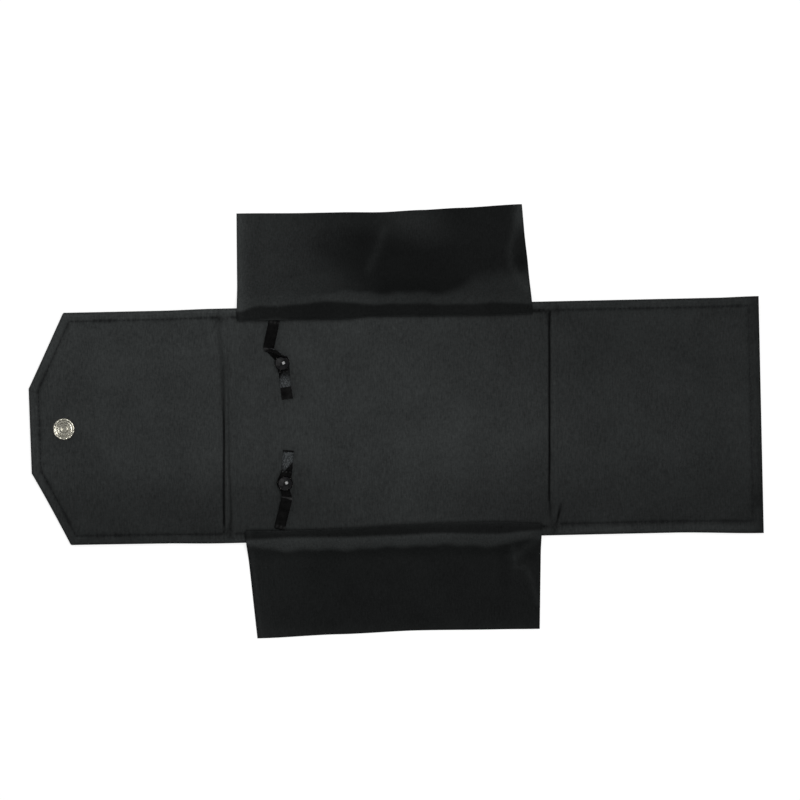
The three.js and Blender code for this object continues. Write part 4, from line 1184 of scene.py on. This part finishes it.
def make_pearl(name):
    """The pearl cap, a dome a little taller than half a ball, which reaches out over its bezel."""
    centre, body = middle_of(name + "_pearl_cap"), name + "_band"
    bezel_low, bezel_high = box(name + "_pearl_bezel")
    radius = (bezel_high.x - bezel_low.x) / 2 - 0.1
    base, plate = bezel_low.z, bezel_low.z + PLATE
    bend = np.radians(np.linspace(0, 90, 25))
    rise = box(name + "_pearl_cap")[1].z - plate
    dome = np.stack([radius * np.cos(bend), plate + rise * np.sin(bend)], -1)
    turned_piece(name + "_pearl", np.concatenate([[(0, plate), (radius - 0.2, plate)], dome]), centre,
                 "black_pearl", body, name + "_pearl_cap", 72)
    outer = radius - 0.05
    ring = np.concatenate([
        [(1.2, base), (outer - 0.3, base)], arc(outer - 0.25, base + 0.25, 0.25, -90, 90, 9),
        [(outer - 0.3, plate - 0.02), (1.2, plate - 0.02)]])
    turned_piece(name + "_bezel", ring, centre, "nickel_plate", body, name + "_pearl_bezel", 72)
    make_claws(name, centre, radius, plate)


def make_claws(name, centre, radius, plate):
    """Six claws that rise from the bezel and bend over the pearl: a rounded strip along an arc."""
    rows, cols, count = 12, 7, 6
    width, thick, height, gap = 0.6, 0.2, 1.2, 0.08
    bend = np.radians(np.linspace(0, 52, rows))[:, None]
    taper = np.sqrt(np.clip(1 - np.linspace(0, 1, rows) ** 4, 0.05, 1))[:, None]
    across = np.linspace(-1, 1, cols)
    lift = np.stack([thick * np.sqrt(1 - 0.6 * across ** 2), np.zeros(cols)])[:, None]
    out = (radius + gap) * np.cos(bend * 0.45) + lift * np.cos(bend)
    tall = plate - 0.1 + height * np.sin(bend) / math.sin(bend[-1, 0]) + lift * np.sin(bend)
    wide = taper * across * width / 2
    turn = (TURN * (np.arange(count) + STRAPS[name]["side"] / 4) / count)[:, None, None, None]
    points = np.stack(np.broadcast_arrays(
        centre[0] + out * np.cos(turn) - wide * np.sin(turn),
        centre[1] + out * np.sin(turn) + wide * np.cos(turn), tall), -1).reshape(-1, 3)
    offsets = np.arange(count)[:, None, None] * 2 * rows * cols
    faces = (shell_faces(rows, cols)[None] + offsets).reshape(-1, 4).tolist()
    piece = new_piece(name + "_claws", points, faces, ["nickel_plate"])
    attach(piece, name + "_band")


class FOLDER_OT_straps(bpy.types.Operator):
    """Sew in the two velvet straps, with their tails, pearl caps and bezels"""

    bl_idname = "folder.straps"
    bl_label = "Straps"

    def execute(self, context):
        for name, strap in STRAPS.items():
            make_tab(name, strap, sizes_now())
            make_band(name, strap, sizes_now())
            make_pearl(name)
        return {"FINISHED"}


# Press snap
WELL_FLOOR = LINING_TOP - 0.4


def make_socket():
    """Socket on the lining: a well with a floor, a raised wall, a groove and a rolled rim."""
    low, high = box("snap_socket")
    roll, well, wall = 0.78, 4.05, 0.4
    rim, outer, under = (high.x - low.x) / 2 - roll, well + wall, WELL_FLOOR - 0.35
    groove, wall_top = LINING_TOP + 0.15, LINING_TOP + 0.75
    profile = np.concatenate([
        [(1.9, under), (well, under)],
        curve((well, under), (outer, under), (outer, WELL_FLOOR), count=6)[1:],
        [(outer, LINING_TOP), (rim, LINING_TOP)],
        arc(rim, LINING_TOP + roll, roll, -90, 216, 34)[1:],
        curve((rim - 0.75 * roll, groove + 0.1), (outer + 0.3, groove - 0.1), (outer, groove + 0.2),
              count=8),
        [(outer, wall_top)],
        arc(well + wall / 2, wall_top, wall / 2, 0, 180, 10)[1:],
        [(well, WELL_FLOOR + 0.35)],
        curve((well, WELL_FLOOR + 0.35), (well, WELL_FLOOR), (well - 0.35, WELL_FLOOR), count=6)[1:],
        [(1.9, WELL_FLOOR)],
    ])
    turned_piece("snap_socket_shell", profile, SNAP, "nickel_plate", "closing_flap", "snap_socket", 144,
                 (2.2, 0.07))


def make_cap():
    """Cap on the outside of the closing flap, with its hollow post rolled over in the well."""
    radius, post, bore, roll = 7.2, 1.6, 1.1, 0.6
    edge, inner = COVER_BOTTOM - 0.55, radius - 1.1
    profile = np.concatenate([
        curve((0, 0), (radius / 2, 0), (radius, edge / 3), (radius, edge), count=18),
        curve((radius, edge), (radius, COVER_BOTTOM), (radius - 0.55, COVER_BOTTOM), count=8)[1:],
        [(inner, COVER_BOTTOM)],
        curve((inner, COVER_BOTTOM), (inner, edge / 2), (radius / 2, 0.4), (post, 0.4), count=10)[1:],
        [(post, WELL_FLOOR)],
        arc(post + roll - 0.2, WELL_FLOOR + roll, roll, -90, 180, 26),
        [(bore, WELL_FLOOR + roll), (bore, WELL_FLOOR + 0.1), (0, WELL_FLOOR + 0.1)],
    ])
    turned_piece("snap_cap_shell", profile, SNAP, "nickel_plate", "closing_flap", "snap_cap",
                 lumps=(1.5, 0.03))


def make_stud():
    """Stud under the front panel: a flange on the cover and a hollow head with a rounded rim."""
    low, high = box("snap_stud")
    flange, bore, head, neck = (high.x - low.x) / 2, 3, 3.9, 3.6
    top = COVER_BOTTOM
    face, web = top - 0.4, top - 0.7
    profile = np.concatenate([
        curve((bore, 0.3), (bore, 0), (bore + 0.3, 0), count=6),
        curve((head - 0.3, 0), (head, 0), (head, 0.4), count=6),
        curve((head, 0.4), (head, 0.8), (neck, 0.8), count=6)[1:],
        [(neck, face), (flange - 0.3, face)],
        curve((flange - 0.3, face), (flange, face), (flange, top), count=6)[1:],
        [(2.3, top), (2.3, web), (bore, web)],
    ])
    turned_piece("snap_stud_shell", profile, middle_of("snap_stud"), "nickel_plate", "front_panel",
                 "snap_stud")


class FOLDER_OT_press_snap(bpy.types.Operator):
    """Set the press snap: the cap and its rolled post, the socket, and the stud"""

    bl_idname = "folder.press_snap"
    bl_label = "Press snap"

    def execute(self, context):
        make_socket()
        make_cap()
        make_stud()
        return {"FINISHED"}


class FOLDER_OT_hidden_pieces(bpy.types.Operator):
    """Give the boards and the small fittings under the ribbons their finishes"""

    bl_idname = "folder.hidden_pieces"
    bl_label = "Hidden pieces"

    def execute(self, context):
        slots = {row["node"]: row["material_slot"] for row in frame["record"]["subparts"]}
        for name, piece in frame["nodes"].items():
            if not piece.hide_render:
                piece.data.materials.clear()
                piece.data.materials.append(material_for(slots[name]))
        return {"FINISHED"}


# Stage, in metres. The camera: height above the table, turn in degrees, the point of the folder under
# its middle, and how much of the lining's plane it sees
CAMERA_HEIGHT = 1.2
CAMERA_TURN = -1.256
CAMERA_PLACE = (0.0023, 0.01388)
VIEW_WIDTH = 0.512
SENSOR = 36
# The lamps: place, size and watts. The small bright one is what the pearls mirror
LAMPS = {
    "upper_lamp": ((-0.5, 1.0, 0.95), 1.6, 1.8),
    "lower_lamp": ((0, -1.2, 0.9), 1.4, 0.8),
    "left_lamp": ((-0.9, 0.25, 0.7), 1.5, 2.2),
    "bright_lamp": ((0.16, 0.08, 1.1), 0.5, 7.0),
}


def add_camera():
    """A camera that looks straight down, turned a little, as wide as the photograph's frame."""
    data = bpy.data.cameras.new("camera")
    data.sensor_width = SENSOR
    data.lens = SENSOR * (CAMERA_HEIGHT - LINING_TOP * MM) / VIEW_WIDTH
    camera = linked(bpy.data.objects.new("camera", data))
    camera.location = (*CAMERA_PLACE, CAMERA_HEIGHT)
    camera.rotation_euler = (0, 0, math.radians(CAMERA_TURN))
    bpy.context.scene.camera = camera


def add_floor():
    """A pale table. The camera and mirror-like surfaces see it white, and it keeps soft shadows."""
    shade = bpy.context.scene.folder_colours.floor
    size = 6.0
    mesh = bpy.data.meshes.new("table")
    corners = [(-size, -size, 0), (size, -size, 0), (size, size, 0), (-size, size, 0)]
    mesh.from_pydata(corners, [], [(0, 1, 2, 3)])
    floor = linked(bpy.data.objects.new("table", mesh))
    floor.location.z = -0.05 * MM
    material = new_material("pale_table_top")
    rays = add_node(material, "LightPath")
    seen = add_node(material, "Math", operation="MAXIMUM",
                    links={0: (rays, "Is Camera Ray"), 1: (rays, "Is Glossy Ray")})
    seen = add_node(material, "Math", operation="MAXIMUM",
                    links={0: (seen, "Value"), 1: (rays, "Is Transmission Ray")})
    power = add_node(material, "Math", {1: 0.8}, {0: (seen, "Value")}, operation="MULTIPLY")
    matt = add_node(material, "BsdfDiffuse", {"Color": scaled(shade, 0.42)})
    glow = add_node(material, "Emission", {"Color": scaled(shade, 1)}, {"Strength": (power, "Value")})
    both = add_node(material, "AddShader", links={0: (matt, "BSDF"), 1: (glow, "Emission")})
    add_node(material, "OutputMaterial", links={"Surface": (both, "Shader")})
    mesh.materials.append(material)


def add_lamps():
    """Square soft lamps that face the folder's middle: beyond the upper flap, beyond the lower flap and
    at the left, and a small bright one, in a dim room."""
    for name, (place, size, watts) in LAMPS.items():
        data = bpy.data.lights.new(name, "AREA")
        data.shape = "SQUARE"
        data.size = size
        data.energy = watts
        lamp = linked(bpy.data.objects.new(name, data))
        lamp.location = place
        lamp.rotation_euler = Vector(place).to_track_quat("Z", "Y").to_euler()
    world = bpy.data.worlds.new("studio")
    bpy.context.scene.world = world
    world.use_nodes = True
    world.node_tree.nodes.clear()
    room = add_node(world, "Background", {"Color": (0.22, 0.22, 0.22, 1)})
    add_node(world, "OutputWorld", links={"Surface": (room, "Background")})
    bpy.context.scene.view_settings.view_transform = "Standard"


class FOLDER_OT_stage(bpy.types.Operator):
    """Put the folder on a pale table under soft lamps, with the camera straight above"""

    bl_idname = "folder.stage"
    bl_label = "Stage"

    def execute(self, context):
        add_camera()
        add_floor()
        add_lamps()
        return {"FINISHED"}


class FOLDER_PT_panel(bpy.types.Panel):
    """Buttons for the folder's pieces, with its sizes and colours"""

    bl_idname = "FOLDER_PT_panel"
    bl_label = "Necklace Folder"
    bl_space_type = "VIEW_3D"
    bl_region_type = "UI"
    bl_category = "Folder"

    def draw(self, context):
        column = self.layout.column(align=True)
        for operator in OPERATORS:
            column.operator(operator.bl_idname)
        for group in (context.scene.folder_sizes, context.scene.folder_colours):
            rows = self.layout.box()
            for name in group.bl_rna.properties.keys():
                if name not in ("rna_type", "name"):
                    rows.prop(group, name)


OPERATORS = (
    FOLDER_OT_stage,
    FOLDER_OT_lining,
    FOLDER_OT_cover,
    FOLDER_OT_stitching,
    FOLDER_OT_side_flaps,
    FOLDER_OT_straps,
    FOLDER_OT_press_snap,
    FOLDER_OT_hidden_pieces,
)
CLASSES = (FolderSizes, FolderColours, *OPERATORS, FOLDER_PT_panel)


def register():
    for item in CLASSES:
        bpy.utils.register_class(item)
    bpy.types.Scene.folder_sizes = bpy.props.PointerProperty(type=FolderSizes)
    bpy.types.Scene.folder_colours = bpy.props.PointerProperty(type=FolderColours)


def unregister():
    del bpy.types.Scene.folder_colours
    del bpy.types.Scene.folder_sizes
    for item in reversed(CLASSES):
        bpy.utils.unregister_class(item)


def main():
    """Makes every piece in order."""
    register()
    for operator in OPERATORS:
        section, name = operator.bl_idname.split(".")
        getattr(getattr(bpy.ops, section), name)()


if __name__ == "__main__":
    main()
